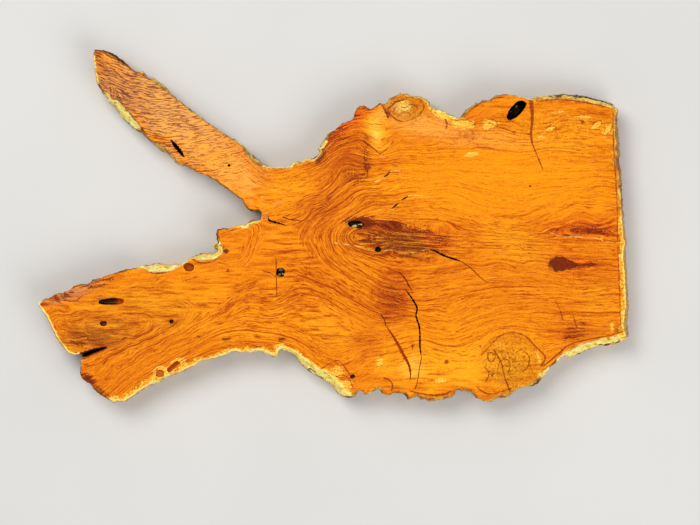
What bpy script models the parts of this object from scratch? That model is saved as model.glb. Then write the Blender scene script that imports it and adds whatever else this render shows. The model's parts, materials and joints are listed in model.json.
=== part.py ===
"""A forked slab of plum wood with natural edges, sawn flat on both faces.

Metres, +Z up out of the finished face. +X runs along the trunk to its sawn end, and +Y is to the left of
somebody who looks that way. The origin is the middle of the footprint, on the surface the slab lies on.
The outline and the holes are picked from a photograph taken from straight above, so their places are in
pixels of that photograph (x to the right, y down) and PIXEL turns them into metres.
"""

import math

import bmesh
import bpy
import numpy as np

MM = 0.001
LENGTH = 475 * MM
THICKNESS = 30 * MM
LEFT, RIGHT = 37.2, 630.4  # pixels of the lower limb's tip and of the sawn end
TOP, BOTTOM = 49.3, 402.8  # pixels of the upper limb's tip and of the trunk's lowest bulge
PIXEL = LENGTH / (RIGHT - LEFT)

BULGE_DEPTH = 2 * MM  # how far down the widest point of the edge lies where the rim is narrow
BULGE_SLOPE = 2.3  # and how much further down it lies for each metre of rim
DEEPEST_BULGE = 22 * MM
SHOULDER_DEPTH = 0.3  # share of the bulge's depth where the rounded shoulder has its middle ring
UNDERCUT = 2.5 * MM  # how far the edge draws in again below the bulge where the rim is narrow
UNDERCUT_SWING = 0.3  # share of the undercut that comes and goes along the edge
UNDERCUT_WAVE = 45 * MM  # and the distance over which it does
NO_UNDERCUT_RIM = 4 * MM  # a rim this wide goes nearly straight down below its bulge
LEAST_UNDERCUT = 0.1  # share of the undercut that even the widest rim keeps
WAIST_HEIGHT, WAIST_UNDERCUT = 0.5, 0.35  # the ring between bulge and underside, as shares
NORMAL_REACH = 5 * MM  # the edge's direction is read this far to each side of a point
CUT_ABOVE = 2 * MM  # how far a cutter stands proud of the face it cuts

# Each point is x, y and the width of the sloping rim between the flat face and the outermost edge.
LOWER_LIMB_INNER_EDGE = [
    (37.2, 303, 1.5), (40.1, 300.4, 1.2), (50.7, 296.7, 0.8), (55, 294.3, 0.8), (65.6, 291, 0.8),
    (77.1, 284.4, 0.8), (80, 284, 1), (83.8, 284.7, 1), (87.7, 283.3, 0.8), (97.3, 278, 0.8),
    (111.7, 273.5, 0.8), (137.7, 266.9, 0.8), (140.6, 265.5, 2), (147.3, 264.8, 6), (151.2, 263.1, 10),
    (156, 262.9, 10.5), (161, 263.9, 9.5), (178.8, 263.8, 3), (183.7, 262.6, 1.5), (190.4, 257.8, 1.5),
    (194.2, 255.9, 3), (198, 254.4, 7), (202.4, 253, 9), (206.3, 253, 9), (210, 253.5, 8),
    (214.4, 252, 6.5), (217.3, 250.8, 5.5), (211.5, 245.8, 10.5), (213, 243.8, 9), (215.9, 242.4, 6),
    (217.1, 241, 4), (216.3, 238.6, 2.5), (216.3, 231.8, 1.5), (217.3, 229.9, 1), (223.1, 228.3, 1),
    (227.9, 228.5, 1), (230.8, 226.5, 2), (234.6, 225.1, 2.5), (248, 222.2, 3.5), (249, 220.3, 5),
    (251.9, 219.8, 5), (255.8, 220.3, 2.5), (259.6, 219.8, 1),
]
FORK = [(260.5, 216, 0.6), (260.6, 212.6, 0.8)]
UPPER_LIMB_INNER_EDGE = [
    (257.7, 210.4, 1), (250, 210.4, 1), (243.3, 203.9, 1.5), (241.8, 201, 1.5), (234.6, 194.8, 1),
    (212.4, 178.8, 1), (196, 172.5, 1), (188.8, 167.2, 1.2), (184, 165.3, 1.2), (180.7, 165.3, 1.2),
    (173, 161, 2), (171, 158, 3.5), (163.8, 151.8, 4), (148, 140.5, 2), (142.7, 133.8, 2.5),
    (128.3, 124.6, 8.5), (125.4, 120.8, 8.5), (119.1, 116, 10), (118.2, 112.6, 8.5),
    (114.8, 108.3, 7.5), (111, 103.9, 6.5), (107.6, 102, 6.5), (106, 100.1, 6.5), (106.6, 97.7, 5),
    (100.9, 92.4, 4), (96.1, 82.3, 1.8), (94.1, 68.8, 1), (93.8, 50, 0.6),
]
UPPER_LIMB_OUTER_EDGE = [
    (97.5, 49.4, 1), (102.3, 49.3, 2.5), (108, 50.6, 4), (112.9, 53.5, 4), (118.7, 58.3, 3),
    (122.5, 60.2, 3), (134, 68.8, 2), (137.4, 70, 2.5), (140.8, 69.6, 4.5), (143.2, 70.8, 4.5),
    (144.1, 73.2, 2.5), (146.5, 76, 0.8), (149.9, 77.5, 1), (151.3, 76.5, 3.5), (160, 81.8, 3.8),
    (163.8, 84.7, 3.2), (172, 94.3, 1.2), (177.3, 98.7, 1.2), (219, 130, 1.2), (240.8, 143.2, 2),
    (256.2, 158.6, 4), (265.8, 164.8, 3), (283, 166.9, 1.5), (287.9, 166.3, 1.5), (290.8, 164.8, 2),
    (292.2, 161.9, 4), (294.6, 160.2, 5), (298.5, 161, 3), (309.1, 158.1, 2), (313.5, 158.1, 1.5),
    (316.3, 156.2, 2),
]
TRUNK_UPPER_EDGE = [
    (318.8, 153.3, 2), (319.2, 150.4, 2.5), (318, 148, 4.5), (319.7, 146.5, 4.5), (321.6, 142.7, 5.5),
    (326.9, 135, 3), (329.8, 132.1, 1.5), (333.2, 130.2, 1), (342.3, 123, 1), (350, 120.6, 1),
    (352.4, 118.7, 1), (356.7, 107.6, 1), (360.1, 105.7, 1), (363.5, 105.4, 1), (367.3, 106.2, 1),
    (370.2, 108, 1), (374, 106.6, 1.2), (379.8, 102.8, 1.5), (383.7, 103.1, 1.5), (387, 102.3, 1.5),
    (388, 99.4, 1.5), (390.4, 97, 2), (394.2, 95.1, 2.2), (397.1, 92.7, 2.2), (401, 91.9, 2.2),
    (416.3, 95.1, 2.5), (421.2, 95.4, 2.5), (429.6, 100.5, 2.5), (430.2, 103.7, 2.5), (433.5, 107, 2),
    (447.1, 111.8, 2), (449.5, 113.8, 1.8), (453.2, 114.6, 1.8), (459.4, 118, 1.2), (467.1, 108.4, 2),
    (472.9, 105.5, 2), (474.8, 102.9, 1.5), (478.7, 102.6, 1.2), (482, 100.7, 1.2), (490.2, 99.2, 1.5),
    (496.9, 94.9, 1), (506.5, 93.5, 1), (518, 94.9, 1), (527.7, 97.8, 1), (532, 98.3, 1),
    (535.5, 96.5, 2.5), (544.5, 94.6, 4.5), (549, 95.2, 3.5), (565.5, 93.6, 3.8), (587.3, 95.9, 5.5),
    (595, 98.3, 5), (601.7, 99.2, 5.5), (612.3, 102.6, 5), (618.6, 107.9, 2.5),
]
SAWN_END = [
    (619, 112.7, 3), (618.6, 120.4, 4), (621.9, 153, 6), (621, 159.8, 5.5), (622.9, 177, 3.8),
    (623.8, 199.2, 3.5), (627.2, 237.7, 3.5), (628.7, 242, 4.5), (627.2, 247.3, 4), (630.3, 308.5, 5),
    (629.6, 323.8, 7), (630.4, 331.5, 6.5), (630.1, 336.3, 4),
]
TRUNK_LOWER_EDGE = [
    (628.2, 339.7, 4.5), (614.2, 345.5, 8), (609.4, 346.4, 8.5), (603.7, 346.4, 8), (598.8, 347.7, 8),
    (588.3, 351.3, 8), (582.5, 354.1, 9), (571, 358.2, 8), (568, 358, 6), (565, 356.1, 2.5),
    (561.8, 358, 3), (557.5, 362.3, 3), (549.5, 371.5, 5), (547, 375.6, 6), (538.7, 384, 4.5),
    (528, 387.7, 2), (522.3, 388.8, 2), (512.7, 393.7, 2), (509.8, 396.5, 2.5), (497.3, 399.4, 2),
    (492.5, 401.8, 1.5), (487.7, 402.8, 1.5), (476.2, 398.5, 1.2), (470.4, 392.2, 1), (457.9, 391, 1),
    (456.3, 392.2, 1), (455.9, 395.3, 1.5), (452.7, 397.3, 2), (446, 399.6, 2.5), (435.4, 401.5, 2.5),
    (421.5, 399.9, 2), (416.3, 395, 1), (414.8, 397.5, 1.5), (411, 399.2, 2), (408, 399.4, 1.5),
    (406.6, 396, 1.2), (403.8, 393.7, 1), (392.2, 394.1, 0.8), (390.3, 395.6, 1), (386, 395.9, 1.2),
    (382.6, 394.1, 1), (379.2, 388.8, 0.8), (376.8, 388.8, 0.8), (370.6, 394.1, 1.5),
    (366.7, 395.3, 1.8), (363.4, 394.6, 1.5), (358.8, 391.2, 0.8), (357, 394.6, 2), (354.2, 397, 3),
    (349.4, 398, 4.5), (344.6, 398, 6), (340.8, 396.2, 7.5), (336.9, 393.2, 8), (330.3, 385, 8),
    (325, 382.6, 8.5), (320.6, 378.5, 8), (309, 372.2, 8.5), (303.5, 367.7, 8), (299.6, 363.8, 7),
    (294.3, 355.7, 4), (287.1, 351.8, 3), (283.3, 350.9, 3), (281.3, 348.9, 2), (278.9, 351.3, 2),
    (278, 355.2, 2.5), (275.6, 356.8, 3), (271.7, 356.3, 3), (258.8, 350.9, 1.5), (251.5, 352.3, 1.2),
    (240, 352.8, 1.5), (234.2, 351.8, 1.2), (217.9, 357.6, 1.5), (199, 362, 1), (196.7, 364.8, 1),
    (188, 368.5, 1.2),
]
LOWER_LIMB_OUTER_EDGE = [
    (180, 373, 2), (162.7, 380.3, 3.5), (138.7, 392.3, 1.5), (133.8, 396.2, 1.5), (124.2, 401.4, 1.5),
    (113.7, 402.7, 2.5), (108.8, 401.4, 2.5), (100.2, 396.2, 2), (96.3, 392.8, 2), (92.5, 389.4, 2),
    (88.7, 384.6, 2), (83.8, 380.8, 1.5), (80.5, 376.4, 1), (80, 365.4, 0.8), (80.2, 360.6, 0.8),
    (81, 358.2, 0.6), (69.4, 353.8, 1), (63.2, 348.6, 1.8), (55.5, 338, 2), (45.9, 317.3, 1.2),
    (39.6, 308.2, 1.5),
]
OUTLINE = (
    LOWER_LIMB_INNER_EDGE
    + FORK
    + UPPER_LIMB_INNER_EDGE
    + UPPER_LIMB_OUTER_EDGE
    + TRUNK_UPPER_EDGE
    + SAWN_END
    + TRUNK_LOWER_EDGE
    + LOWER_LIMB_OUTER_EDGE
)

# Each hole is an ellipse: the two ends of its long axis, its width in pixels, and its depth.
HOLES = {
    "knot_hole": ((508, 119), (526, 99), 11, 17 * MM),
    "gallery": ((98.5, 302), (124.5, 301), 6.5, 5 * MM),
    "round_hole": ((276, 272.5), (285, 272.5), 9, 9 * MM),
    "heart_knot_hole": ((348, 223.5), (364, 225), 7, 7 * MM),
    "pith_hole": ((375, 249.5), (381, 249.5), 5.5, 5 * MM),
    "sapwood_hole": ((160, 369.5), (160, 379), 9, 5 * MM),
    "sapwood_slot": ((167, 371.5), (179, 361.5), 5.5, 5 * MM),
    "limb_hole": ((182.5, 262), (193.5, 272.5), 9.5, 4 * MM),
    "small_gallery": ((100, 323.5), (107, 323.5), 5.5, 4 * MM),
}
HOLE_SIDES = 12
HOLE_WAIST, HOLE_FLOOR = 0.93, 0.72  # a hole's width half way down and at its floor, against its mouth

# Each split runs through the points x, y, width, and is cut to a depth below the finished face.
SPLITS = {
    "limb_end_split": ([(74, 359.5, 5), (84, 355, 3.8), (94, 351, 3), (107, 347, 0.4)], 15 * MM),
    "limb_slit": ([(170.5, 139.5, 0.5), (174, 144, 4), (180, 151.5, 4), (184.5, 157.5, 0.5)], 6 * MM),
    "heart_split": (
        [(386, 326, 0.4), (391, 333, 2), (396, 341, 2.6), (400, 348, 3.4), (403, 354, 4),
         (407, 361, 2.8), (409.5, 367, 2.2), (410.5, 374, 1.8), (410, 380, 0.4)],
        8 * MM,
    ),
    "long_split": (
        [(405, 289, 0.4), (412, 298.5, 1.8), (417, 308, 1.8), (416, 316, 1.6), (419.5, 328, 1.8),
         (420, 346, 1.8), (421.5, 358, 0.4)],
        6 * MM,
    ),
    "trunk_split": (
        [(430, 249.5, 0.4), (436, 251.5, 1.8), (445, 256, 2), (457, 260, 1.6), (462, 262, 0.4)],
        5 * MM,
    ),
    "fork_split": ([(268, 216, 0.4), (269.5, 220.5, 1.8), (280, 223.5, 1.6), (286, 225.5, 0.4)], 5 * MM),
}
SPLIT_FLOOR = 0.35  # a split's width at its floor against its mouth

HEARTWOOD = (0.76, 0.27, 0.03, 1.0)
HEARTWOOD_ROUGHNESS = 0.55


def place(x, y):
    """Pixels to metres in the slab's frame."""
    return (x - (LEFT + RIGHT) / 2) * PIXEL, ((TOP + BOTTOM) / 2 - y) * PIXEL


def closed_loop(points):
    """The outline's points in metres, anticlockwise from above, with its rim widths."""
    loop = np.array([(*place(x, y), rim * PIXEL) for x, y, rim in points])
    return loop[::-1, :2], loop[::-1, 2]


def arc_lengths(loop):
    """The distance along a closed loop to each of its points, and once round."""
    steps = np.linalg.norm(np.roll(loop, -1, axis=0) - loop, axis=1)
    return np.concatenate([[0], np.cumsum(steps)])


def outward(loop):
    """A unit vector out of the loop at each point, square to the chord that spans it."""
    along = arc_lengths(loop)
    ends = np.vstack([loop, loop[:1]])

    def at(distance):
        distance = distance % along[-1]
        return np.column_stack([np.interp(distance, along, ends[:, axis]) for axis in (0, 1)])

    chord = at(along[:-1] + NORMAL_REACH) - at(along[:-1] - NORMAL_REACH)
    normal = np.column_stack([chord[:, 1], -chord[:, 0]])
    return normal / np.linalg.norm(normal, axis=1, keepdims=True)


def ring(loop, z):
    """A loop of points with their heights, which may differ from point to point."""
    return np.column_stack([loop, np.broadcast_to(z, len(loop))])


def edge_rings(loop, rim):
    """The natural edge from the underside up: undercut, bulge, then a rounded slope in to the face."""
    normal = outward(loop)
    bulge = np.minimum(BULGE_DEPTH + BULGE_SLOPE * rim, DEEPEST_BULGE)
    turns = 2 * math.pi * arc_lengths(loop)[:-1] / UNDERCUT_WAVE
    wave = 1 - UNDERCUT_SWING * (1 - np.sin(turns))
    undercut = UNDERCUT * wave * np.clip(1 - rim / NO_UNDERCUT_RIM, LEAST_UNDERCUT, 1)
    heights = THICKNESS - bulge

    def offset(distance):
        return loop - normal * np.reshape(distance, (-1, 1))

    # A quarter of an ellipse leads from the bulge up and in to the face.
    shoulder = rim * (1 - math.sqrt(1 - (1 - SHOULDER_DEPTH) ** 2))
    return [
        ring(offset(undercut), 0),
        ring(offset(WAIST_UNDERCUT * undercut), WAIST_HEIGHT * heights),
        ring(loop, heights),
        ring(offset(shoulder), THICKNESS - SHOULDER_DEPTH * bulge),
        ring(offset(rim), THICKNESS),
    ]


def loft(name, rings):
    """A closed body through a stack of rings with the same number of points, with flat ends."""
    bm = bmesh.new()
    rows = [[bm.verts.new(point) for point in points] for points in rings]
    for low, high in zip(rows, rows[1:]):
        for i in range(len(low)):
            j = (i + 1) % len(low)
            bm.faces.new((low[i], low[j], high[j], high[i]))
    bm.faces.new(rows[0][::-1])
    bm.faces.new(rows[-1])
    bmesh.ops.recalc_face_normals(bm, faces=bm.faces)
    mesh = bpy.data.meshes.new(name)
    bm.to_mesh(mesh)
    bm.free()
    return bpy.data.objects.new(name, mesh)


def hole_cutter(name, start, end, width, depth):
    """A tapered elliptical plug as deep as the hole, standing proud of the face."""
    start, end = np.array(place(*start)), np.array(place(*end))
    along = (end - start) / 2
    across = np.array([-along[1], along[0]]) / np.linalg.norm(along) * width * PIXEL / 2
    turn = 2 * math.pi * np.arange(HOLE_SIDES)[:, None] / HOLE_SIDES
    ellipse = np.cos(turn) * along + np.sin(turn) * across
    middle = (start + end) / 2
    levels = [(-depth, HOLE_FLOOR), (-depth / 2, HOLE_WAIST), (CUT_ABOVE, 1.0)]
    return loft(name, [ring(middle + scale * ellipse, THICKNESS + z) for z, scale in levels])


def split_cutter(name, path, depth):
    """A wedge that follows the split's path, widest at the face."""
    middle = np.array([place(x, y) for x, y, _ in path])
    half = np.array([[width * PIXEL / 2] for _, _, width in path])
    run = np.gradient(middle, axis=0)
    side = np.column_stack([-run[:, 1], run[:, 0]]) / np.linalg.norm(run, axis=1, keepdims=True)
    levels = [(-depth, SPLIT_FLOOR), (0, 1.0), (CUT_ABOVE, 1.0)]
    rings = []
    for z, scale in levels:
        left, right = middle + scale * half * side, middle - scale * half * side
        rings.append(ring(np.vstack([right, left[::-1]]), THICKNESS + z))
    return loft(name, rings)


def wood():
    material = bpy.data.materials.new("plum_heartwood")
    material.use_nodes = True
    finish = material.node_tree.nodes["Principled BSDF"]
    finish.inputs["Base Color"].default_value = HEARTWOOD
    finish.inputs["Roughness"].default_value = HEARTWOOD_ROUGHNESS
    finish.inputs["Metallic"].default_value = 0.0
    material.diffuse_color = HEARTWOOD
    return material


def slab():
    """The whole piece of wood, with its holes and splits cut out of the finished face."""
    body = loft("plum_slab", edge_rings(*closed_loop(OUTLINE)))
    body.data.materials.append(wood())
    bpy.context.scene.collection.objects.link(body)

    tools = bpy.data.collections.new("cutters")
    bpy.context.scene.collection.children.link(tools)
    cutters = [hole_cutter(name, *size) for name, size in HOLES.items()]
    cutters += [split_cutter(name, *size) for name, size in SPLITS.items()]
    for cutter in cutters:
        cutter.hide_render = True
        cutter.display_type = "WIRE"
        tools.objects.link(cutter)

    cut = body.modifiers.new("holes_and_splits", "BOOLEAN")
    cut.operation = "DIFFERENCE"
    cut.operand_type = "COLLECTION"
    cut.collection = tools
    return body


def main():
    for old in list(bpy.data.objects):
        bpy.data.objects.remove(old, do_unlink=True)
    slab()


main()
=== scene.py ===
# %% [markdown]
# # A forked slab of plum wood
#
# A plum trunk was sawn lengthwise just where it forks, and the plank shows both limbs, the feathered
# wood of the crotch between them, knots, drying splits and insect galleries. The edges are left as
# they grew: pale sapwood that slopes away under scraps of bark.
#
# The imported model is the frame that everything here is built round. Its one node has the right
# outline and the right holes, but flat facets and no figure, so a finer skin takes its place.

# %% Load the frame
import json
import math

import bpy
import numpy as np
from mathutils.geometry import delaunay_2d_cdt
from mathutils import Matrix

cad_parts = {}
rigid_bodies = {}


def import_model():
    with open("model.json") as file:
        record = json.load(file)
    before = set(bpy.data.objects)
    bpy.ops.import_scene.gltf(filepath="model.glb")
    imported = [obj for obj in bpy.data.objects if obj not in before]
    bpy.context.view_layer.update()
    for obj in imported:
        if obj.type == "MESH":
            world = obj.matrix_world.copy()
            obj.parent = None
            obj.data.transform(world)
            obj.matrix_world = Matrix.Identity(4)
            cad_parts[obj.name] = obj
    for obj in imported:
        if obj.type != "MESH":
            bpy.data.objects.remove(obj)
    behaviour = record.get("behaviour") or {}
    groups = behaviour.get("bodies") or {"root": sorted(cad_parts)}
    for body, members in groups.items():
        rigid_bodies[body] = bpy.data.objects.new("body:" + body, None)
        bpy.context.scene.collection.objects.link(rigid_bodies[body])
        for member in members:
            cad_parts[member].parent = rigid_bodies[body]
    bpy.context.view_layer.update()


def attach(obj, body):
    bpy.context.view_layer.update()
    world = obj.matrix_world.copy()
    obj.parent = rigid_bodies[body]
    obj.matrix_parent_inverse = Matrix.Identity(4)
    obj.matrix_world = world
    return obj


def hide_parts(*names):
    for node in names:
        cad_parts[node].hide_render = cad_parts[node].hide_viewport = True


for leftover in list(bpy.data.objects):
    bpy.data.objects.remove(leftover)
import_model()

# %% [markdown]
# ## Pixels and metres
#
# The photograph looks straight down on the finished face, so a place on it is best told in pixels,
# x to the right and y down. The slab's length fixes the scale: it is 475 mm from the lower limb's tip
# to the sawn end, and those are 593 pixels apart.

# %% Scale
MM = 0.001
LENGTH = 475 * MM
THICKNESS = 30 * MM
LEFT, RIGHT = 37.2, 630.4  # pixels of the lower limb's tip and of the sawn end
TOP, BOTTOM = 49.3, 402.8  # pixels of the upper limb's tip and of the trunk's lowest bulge
PIXEL = LENGTH / (RIGHT - LEFT)
MIDDLE = np.array([(LEFT + RIGHT) / 2, (TOP + BOTTOM) / 2])


def place(points):
    """Pixels to metres: the distance from the outline's middle times the scale, with y turned up."""
    return (np.asarray(points, float)[..., :2] - MIDDLE) * PIXEL * (1, -1)


def pixels(points):
    """Metres back to pixels."""
    return np.asarray(points)[..., :2] / (PIXEL, -PIXEL) + MIDDLE


print("one pixel is", round(PIXEL / MM, 3), "mm")

# %% [markdown]
# ## Camera
#
# The camera looks straight down from two metres, far enough for the edges to show hardly any side.
# Its lens makes the picture's 700 pixels as wide as 700 pixels of the slab's scale.

# %% Camera
PICTURE = np.array([700, 525])
CAMERA_HEIGHT = 2.0
SENSOR = 36.0

view = bpy.data.cameras.new("straight_down")
view.sensor_width = SENSOR
view.lens = SENSOR * CAMERA_HEIGHT / (PICTURE[0] * PIXEL)
camera = bpy.data.objects.new("straight_down", view)
camera.location = (*place(PICTURE / 2), THICKNESS + CAMERA_HEIGHT)
bpy.context.collection.objects.link(camera)
bpy.context.scene.camera = camera
print("lens", round(view.lens, 1), "mm")

# %% [markdown]
# ## The outline
#
# A grown edge follows no formula, so its points are given one by one, clockwise as the photograph
# shows it. The third number is the width of the rim: the band of sapwood that slopes from the flat
# face out to the widest line of the edge.

# %% Outline points
LOWER_LIMB_INNER_EDGE = [
    (37.2, 303, 1.5), (40.1, 300.4, 1.2), (50.7, 296.7, 0.8), (55, 294.3, 0.8), (65.6, 291, 0.8),
    (77.1, 284.4, 0.8), (80, 284, 1), (83.8, 284.7, 1), (87.7, 283.3, 0.8), (97.3, 278, 0.8),
    (111.7, 273.5, 0.8), (137.7, 266.9, 0.8), (140.6, 265.5, 2), (147.3, 264.8, 6), (151.2, 263.1, 10),
    (156, 262.9, 10.5), (161, 263.9, 9.5), (178.8, 263.8, 3), (183.7, 262.6, 1.5), (190.4, 257.8, 1.5),
    (194.2, 255.9, 3), (198, 254.4, 7), (202.4, 253, 9), (206.3, 253, 9), (210, 253.5, 8),
    (214.4, 252, 6.5), (217.3, 250.8, 5.5), (211.5, 245.8, 10.5), (213, 243.8, 9), (215.9, 242.4, 6),
    (217.1, 241, 4), (216.3, 238.6, 2.5), (216.3, 231.8, 1.5), (217.3, 229.9, 1), (223.1, 228.3, 1),
    (227.9, 228.5, 1), (230.8, 226.5, 2), (234.6, 225.1, 2.5), (248, 222.2, 3.5), (249, 220.3, 5),
    (251.9, 219.8, 5), (255.8, 220.3, 2.5), (259.6, 219.8, 1),
]
FORK = [(260.5, 216, 0.6), (260.6, 212.6, 0.8)]
UPPER_LIMB_INNER_EDGE = [
    (257.7, 210.4, 1), (250, 210.4, 1), (243.3, 203.9, 1.5), (241.8, 201, 1.5), (234.6, 194.8, 1),
    (212.4, 178.8, 1), (196, 172.5, 1), (188.8, 167.2, 1.2), (184, 165.3, 1.2), (180.7, 165.3, 1.2),
    (173, 161, 2), (171, 158, 3.5), (163.8, 151.8, 4), (148, 140.5, 2), (142.7, 133.8, 2.5),
    (128.3, 124.6, 8.5), (125.4, 120.8, 8.5), (119.1, 116, 10), (118.2, 112.6, 8.5), (114.8, 108.3, 7.5),
    (111, 103.9, 6.5), (107.6, 102, 6.5), (106, 100.1, 6.5), (106.6, 97.7, 5), (100.9, 92.4, 4),
    (96.1, 82.3, 1.8), (94.1, 68.8, 1), (93.8, 50, 0.6),
]
UPPER_LIMB_OUTER_EDGE = [
    (97.5, 49.4, 1), (102.3, 49.3, 2.5), (108, 50.6, 4), (112.9, 53.5, 4), (118.7, 58.3, 3),
    (122.5, 60.2, 3), (134, 68.8, 2), (137.4, 70, 2.5), (140.8, 69.6, 4.5), (143.2, 70.8, 4.5),
    (144.1, 73.2, 2.5), (146.5, 76, 0.8), (149.9, 77.5, 1), (151.3, 76.5, 3.5), (160, 81.8, 3.8),
    (163.8, 84.7, 3.2), (172, 94.3, 1.2), (177.3, 98.7, 1.2), (219, 130, 1.2), (240.8, 143.2, 2),
    (256.2, 158.6, 4), (265.8, 164.8, 3), (283, 166.9, 1.5), (287.9, 166.3, 1.5), (290.8, 164.8, 2),
    (292.2, 161.9, 4), (294.6, 160.2, 5), (298.5, 161, 3), (309.1, 158.1, 2), (313.5, 158.1, 1.5),
    (316.3, 156.2, 2),
]
TRUNK_UPPER_EDGE = [
    (318.8, 153.3, 2), (319.2, 150.4, 2.5), (318, 148, 4.5), (319.7, 146.5, 4.5), (321.6, 142.7, 5.5),
    (326.9, 135, 3), (329.8, 132.1, 1.5), (333.2, 130.2, 1), (342.3, 123, 1), (350, 120.6, 1),
    (352.4, 118.7, 1), (356.7, 107.6, 1), (360.1, 105.7, 1), (363.5, 105.4, 1), (367.3, 106.2, 1),
    (370.2, 108, 1), (374, 106.6, 1.2), (379.8, 102.8, 1.5), (383.7, 103.1, 1.5), (387, 102.3, 1.5),
    (388, 99.4, 1.5), (390.4, 97, 2), (394.2, 95.1, 2.2), (397.1, 92.7, 2.2), (401, 91.9, 2.2),
    (416.3, 95.1, 2.5), (421.2, 95.4, 2.5), (429.6, 100.5, 2.5), (430.2, 103.7, 2.5), (433.5, 107, 2),
    (447.1, 111.8, 2), (449.5, 113.8, 1.8), (453.2, 114.6, 1.8), (459.4, 118, 1.2), (467.1, 108.4, 2),
    (472.9, 105.5, 2), (474.8, 102.9, 1.5), (478.7, 102.6, 1.2), (482, 100.7, 1.2), (490.2, 99.2, 1.5),
    (496.9, 94.9, 1), (506.5, 93.5, 1), (518, 94.9, 1), (527.7, 97.8, 1), (532, 98.3, 1),
    (535.5, 96.5, 2.5), (544.5, 94.6, 4.5), (549, 95.2, 3.5), (565.5, 93.6, 3.8), (587.3, 95.9, 5.5),
    (595, 98.3, 5), (601.7, 99.2, 5.5), (612.3, 102.6, 5), (618.6, 107.9, 2.5),
]
SAWN_END = [
    (619, 112.7, 3), (618.6, 120.4, 4), (621.9, 153, 6), (621, 159.8, 5.5), (622.9, 177, 3.8),
    (623.8, 199.2, 3.5), (627.2, 237.7, 3.5), (628.7, 242, 4.5), (627.2, 247.3, 4), (630.3, 308.5, 5),
    (629.6, 323.8, 7), (630.4, 331.5, 6.5), (630.1, 336.3, 4),
]
TRUNK_LOWER_EDGE = [
    (628.2, 339.7, 4.5), (614.2, 345.5, 8), (609.4, 346.4, 8.5), (603.7, 346.4, 8), (598.8, 347.7, 8),
    (588.3, 351.3, 8), (582.5, 354.1, 9), (571, 358.2, 8), (568, 358, 6), (565, 356.1, 2.5),
    (561.8, 358, 3), (557.5, 362.3, 3), (549.5, 371.5, 5), (547, 375.6, 6), (538.7, 384, 4.5),
    (528, 387.7, 2), (522.3, 388.8, 2), (512.7, 393.7, 2), (509.8, 396.5, 2.5), (497.3, 399.4, 2),
    (492.5, 401.8, 1.5), (487.7, 402.8, 1.5), (476.2, 398.5, 1.2), (470.4, 392.2, 1), (457.9, 391, 1),
    (456.3, 392.2, 1), (455.9, 395.3, 1.5), (452.7, 397.3, 2), (446, 399.6, 2.5), (435.4, 401.5, 2.5),
    (421.5, 399.9, 2), (416.3, 395, 1), (414.8, 397.5, 1.5), (411, 399.2, 2), (408, 399.4, 1.5),
    (406.6, 396, 1.2), (403.8, 393.7, 1), (392.2, 394.1, 0.8), (390.3, 395.6, 1), (386, 395.9, 1.2),
    (382.6, 394.1, 1), (379.2, 388.8, 0.8), (376.8, 388.8, 0.8), (370.6, 394.1, 1.5), (366.7, 395.3, 1.8),
    (363.4, 394.6, 1.5), (358.8, 391.2, 0.8), (357, 394.6, 2), (354.2, 397, 3), (349.4, 398, 4.5),
    (344.6, 398, 6), (340.8, 396.2, 7.5), (336.9, 393.2, 8), (330.3, 385, 8), (325, 382.6, 8.5),
    (320.6, 378.5, 8), (309, 372.2, 8.5), (303.5, 367.7, 8), (299.6, 363.8, 7), (294.3, 355.7, 4),
    (287.1, 351.8, 3), (283.3, 350.9, 3), (281.3, 348.9, 2), (278.9, 351.3, 2), (278, 355.2, 2.5),
    (275.6, 356.8, 3), (271.7, 356.3, 3), (258.8, 350.9, 1.5), (251.5, 352.3, 1.2), (240, 352.8, 1.5),
    (234.2, 351.8, 1.2), (217.9, 357.6, 1.5), (199, 362, 1), (196.7, 364.8, 1), (188, 368.5, 1.2),
]
LOWER_LIMB_OUTER_EDGE = [
    (180, 373, 2), (162.7, 380.3, 3.5), (138.7, 392.3, 1.5), (133.8, 396.2, 1.5), (124.2, 401.4, 1.5),
    (113.7, 402.7, 2.5), (108.8, 401.4, 2.5), (100.2, 396.2, 2), (96.3, 392.8, 2), (92.5, 389.4, 2),
    (88.7, 384.6, 2), (83.8, 380.8, 1.5), (80.5, 376.4, 1), (80, 365.4, 0.8), (80.4, 360.8, 0.8),
]
LIMB_END_SPLIT = [
    (84.6, 357, 0.3), (94.4, 352.4, 0.3), (107, 347.2, 0.3), (93.6, 349.9, 0.3), (83.2, 353.3, 0.3),
]
LOWER_LIMB_TIP = [
    (77.5, 354.6, 0.6), (69.4, 353.8, 1), (63.2, 348.6, 1.8), (55.5, 338, 2), (45.9, 317.3, 1.2),
    (39.6, 308.2, 1.5),
]
OUTLINE = np.array([
    *LOWER_LIMB_INNER_EDGE, *FORK, *UPPER_LIMB_INNER_EDGE, *UPPER_LIMB_OUTER_EDGE, *TRUNK_UPPER_EDGE,
    *SAWN_END, *TRUNK_LOWER_EDGE, *LOWER_LIMB_OUTER_EDGE, *LIMB_END_SPLIT, *LOWER_LIMB_TIP,
])
print(len(OUTLINE), "points round the edge")

# %% [markdown]
# ## A curve through the points
#
# Straight runs between the points would show as facets. A cubic through each pair of neighbours bends
# as the edge does and still passes through every point, and reading it at even steps gives the skin
# columns of one width.

# %% Smooth loop
EDGE_STEP = 1.15 * MM
NARROWEST_RIM = 0.4 * MM
LOOP_CUTS, PATH_CUTS = 12, 8  # pieces for each stretch between two points


def in_metres(path):
    """Points x, y, width in pixels to metres."""
    return np.column_stack([place(path), np.array(path)[:, 2] * PIXEL])


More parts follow.
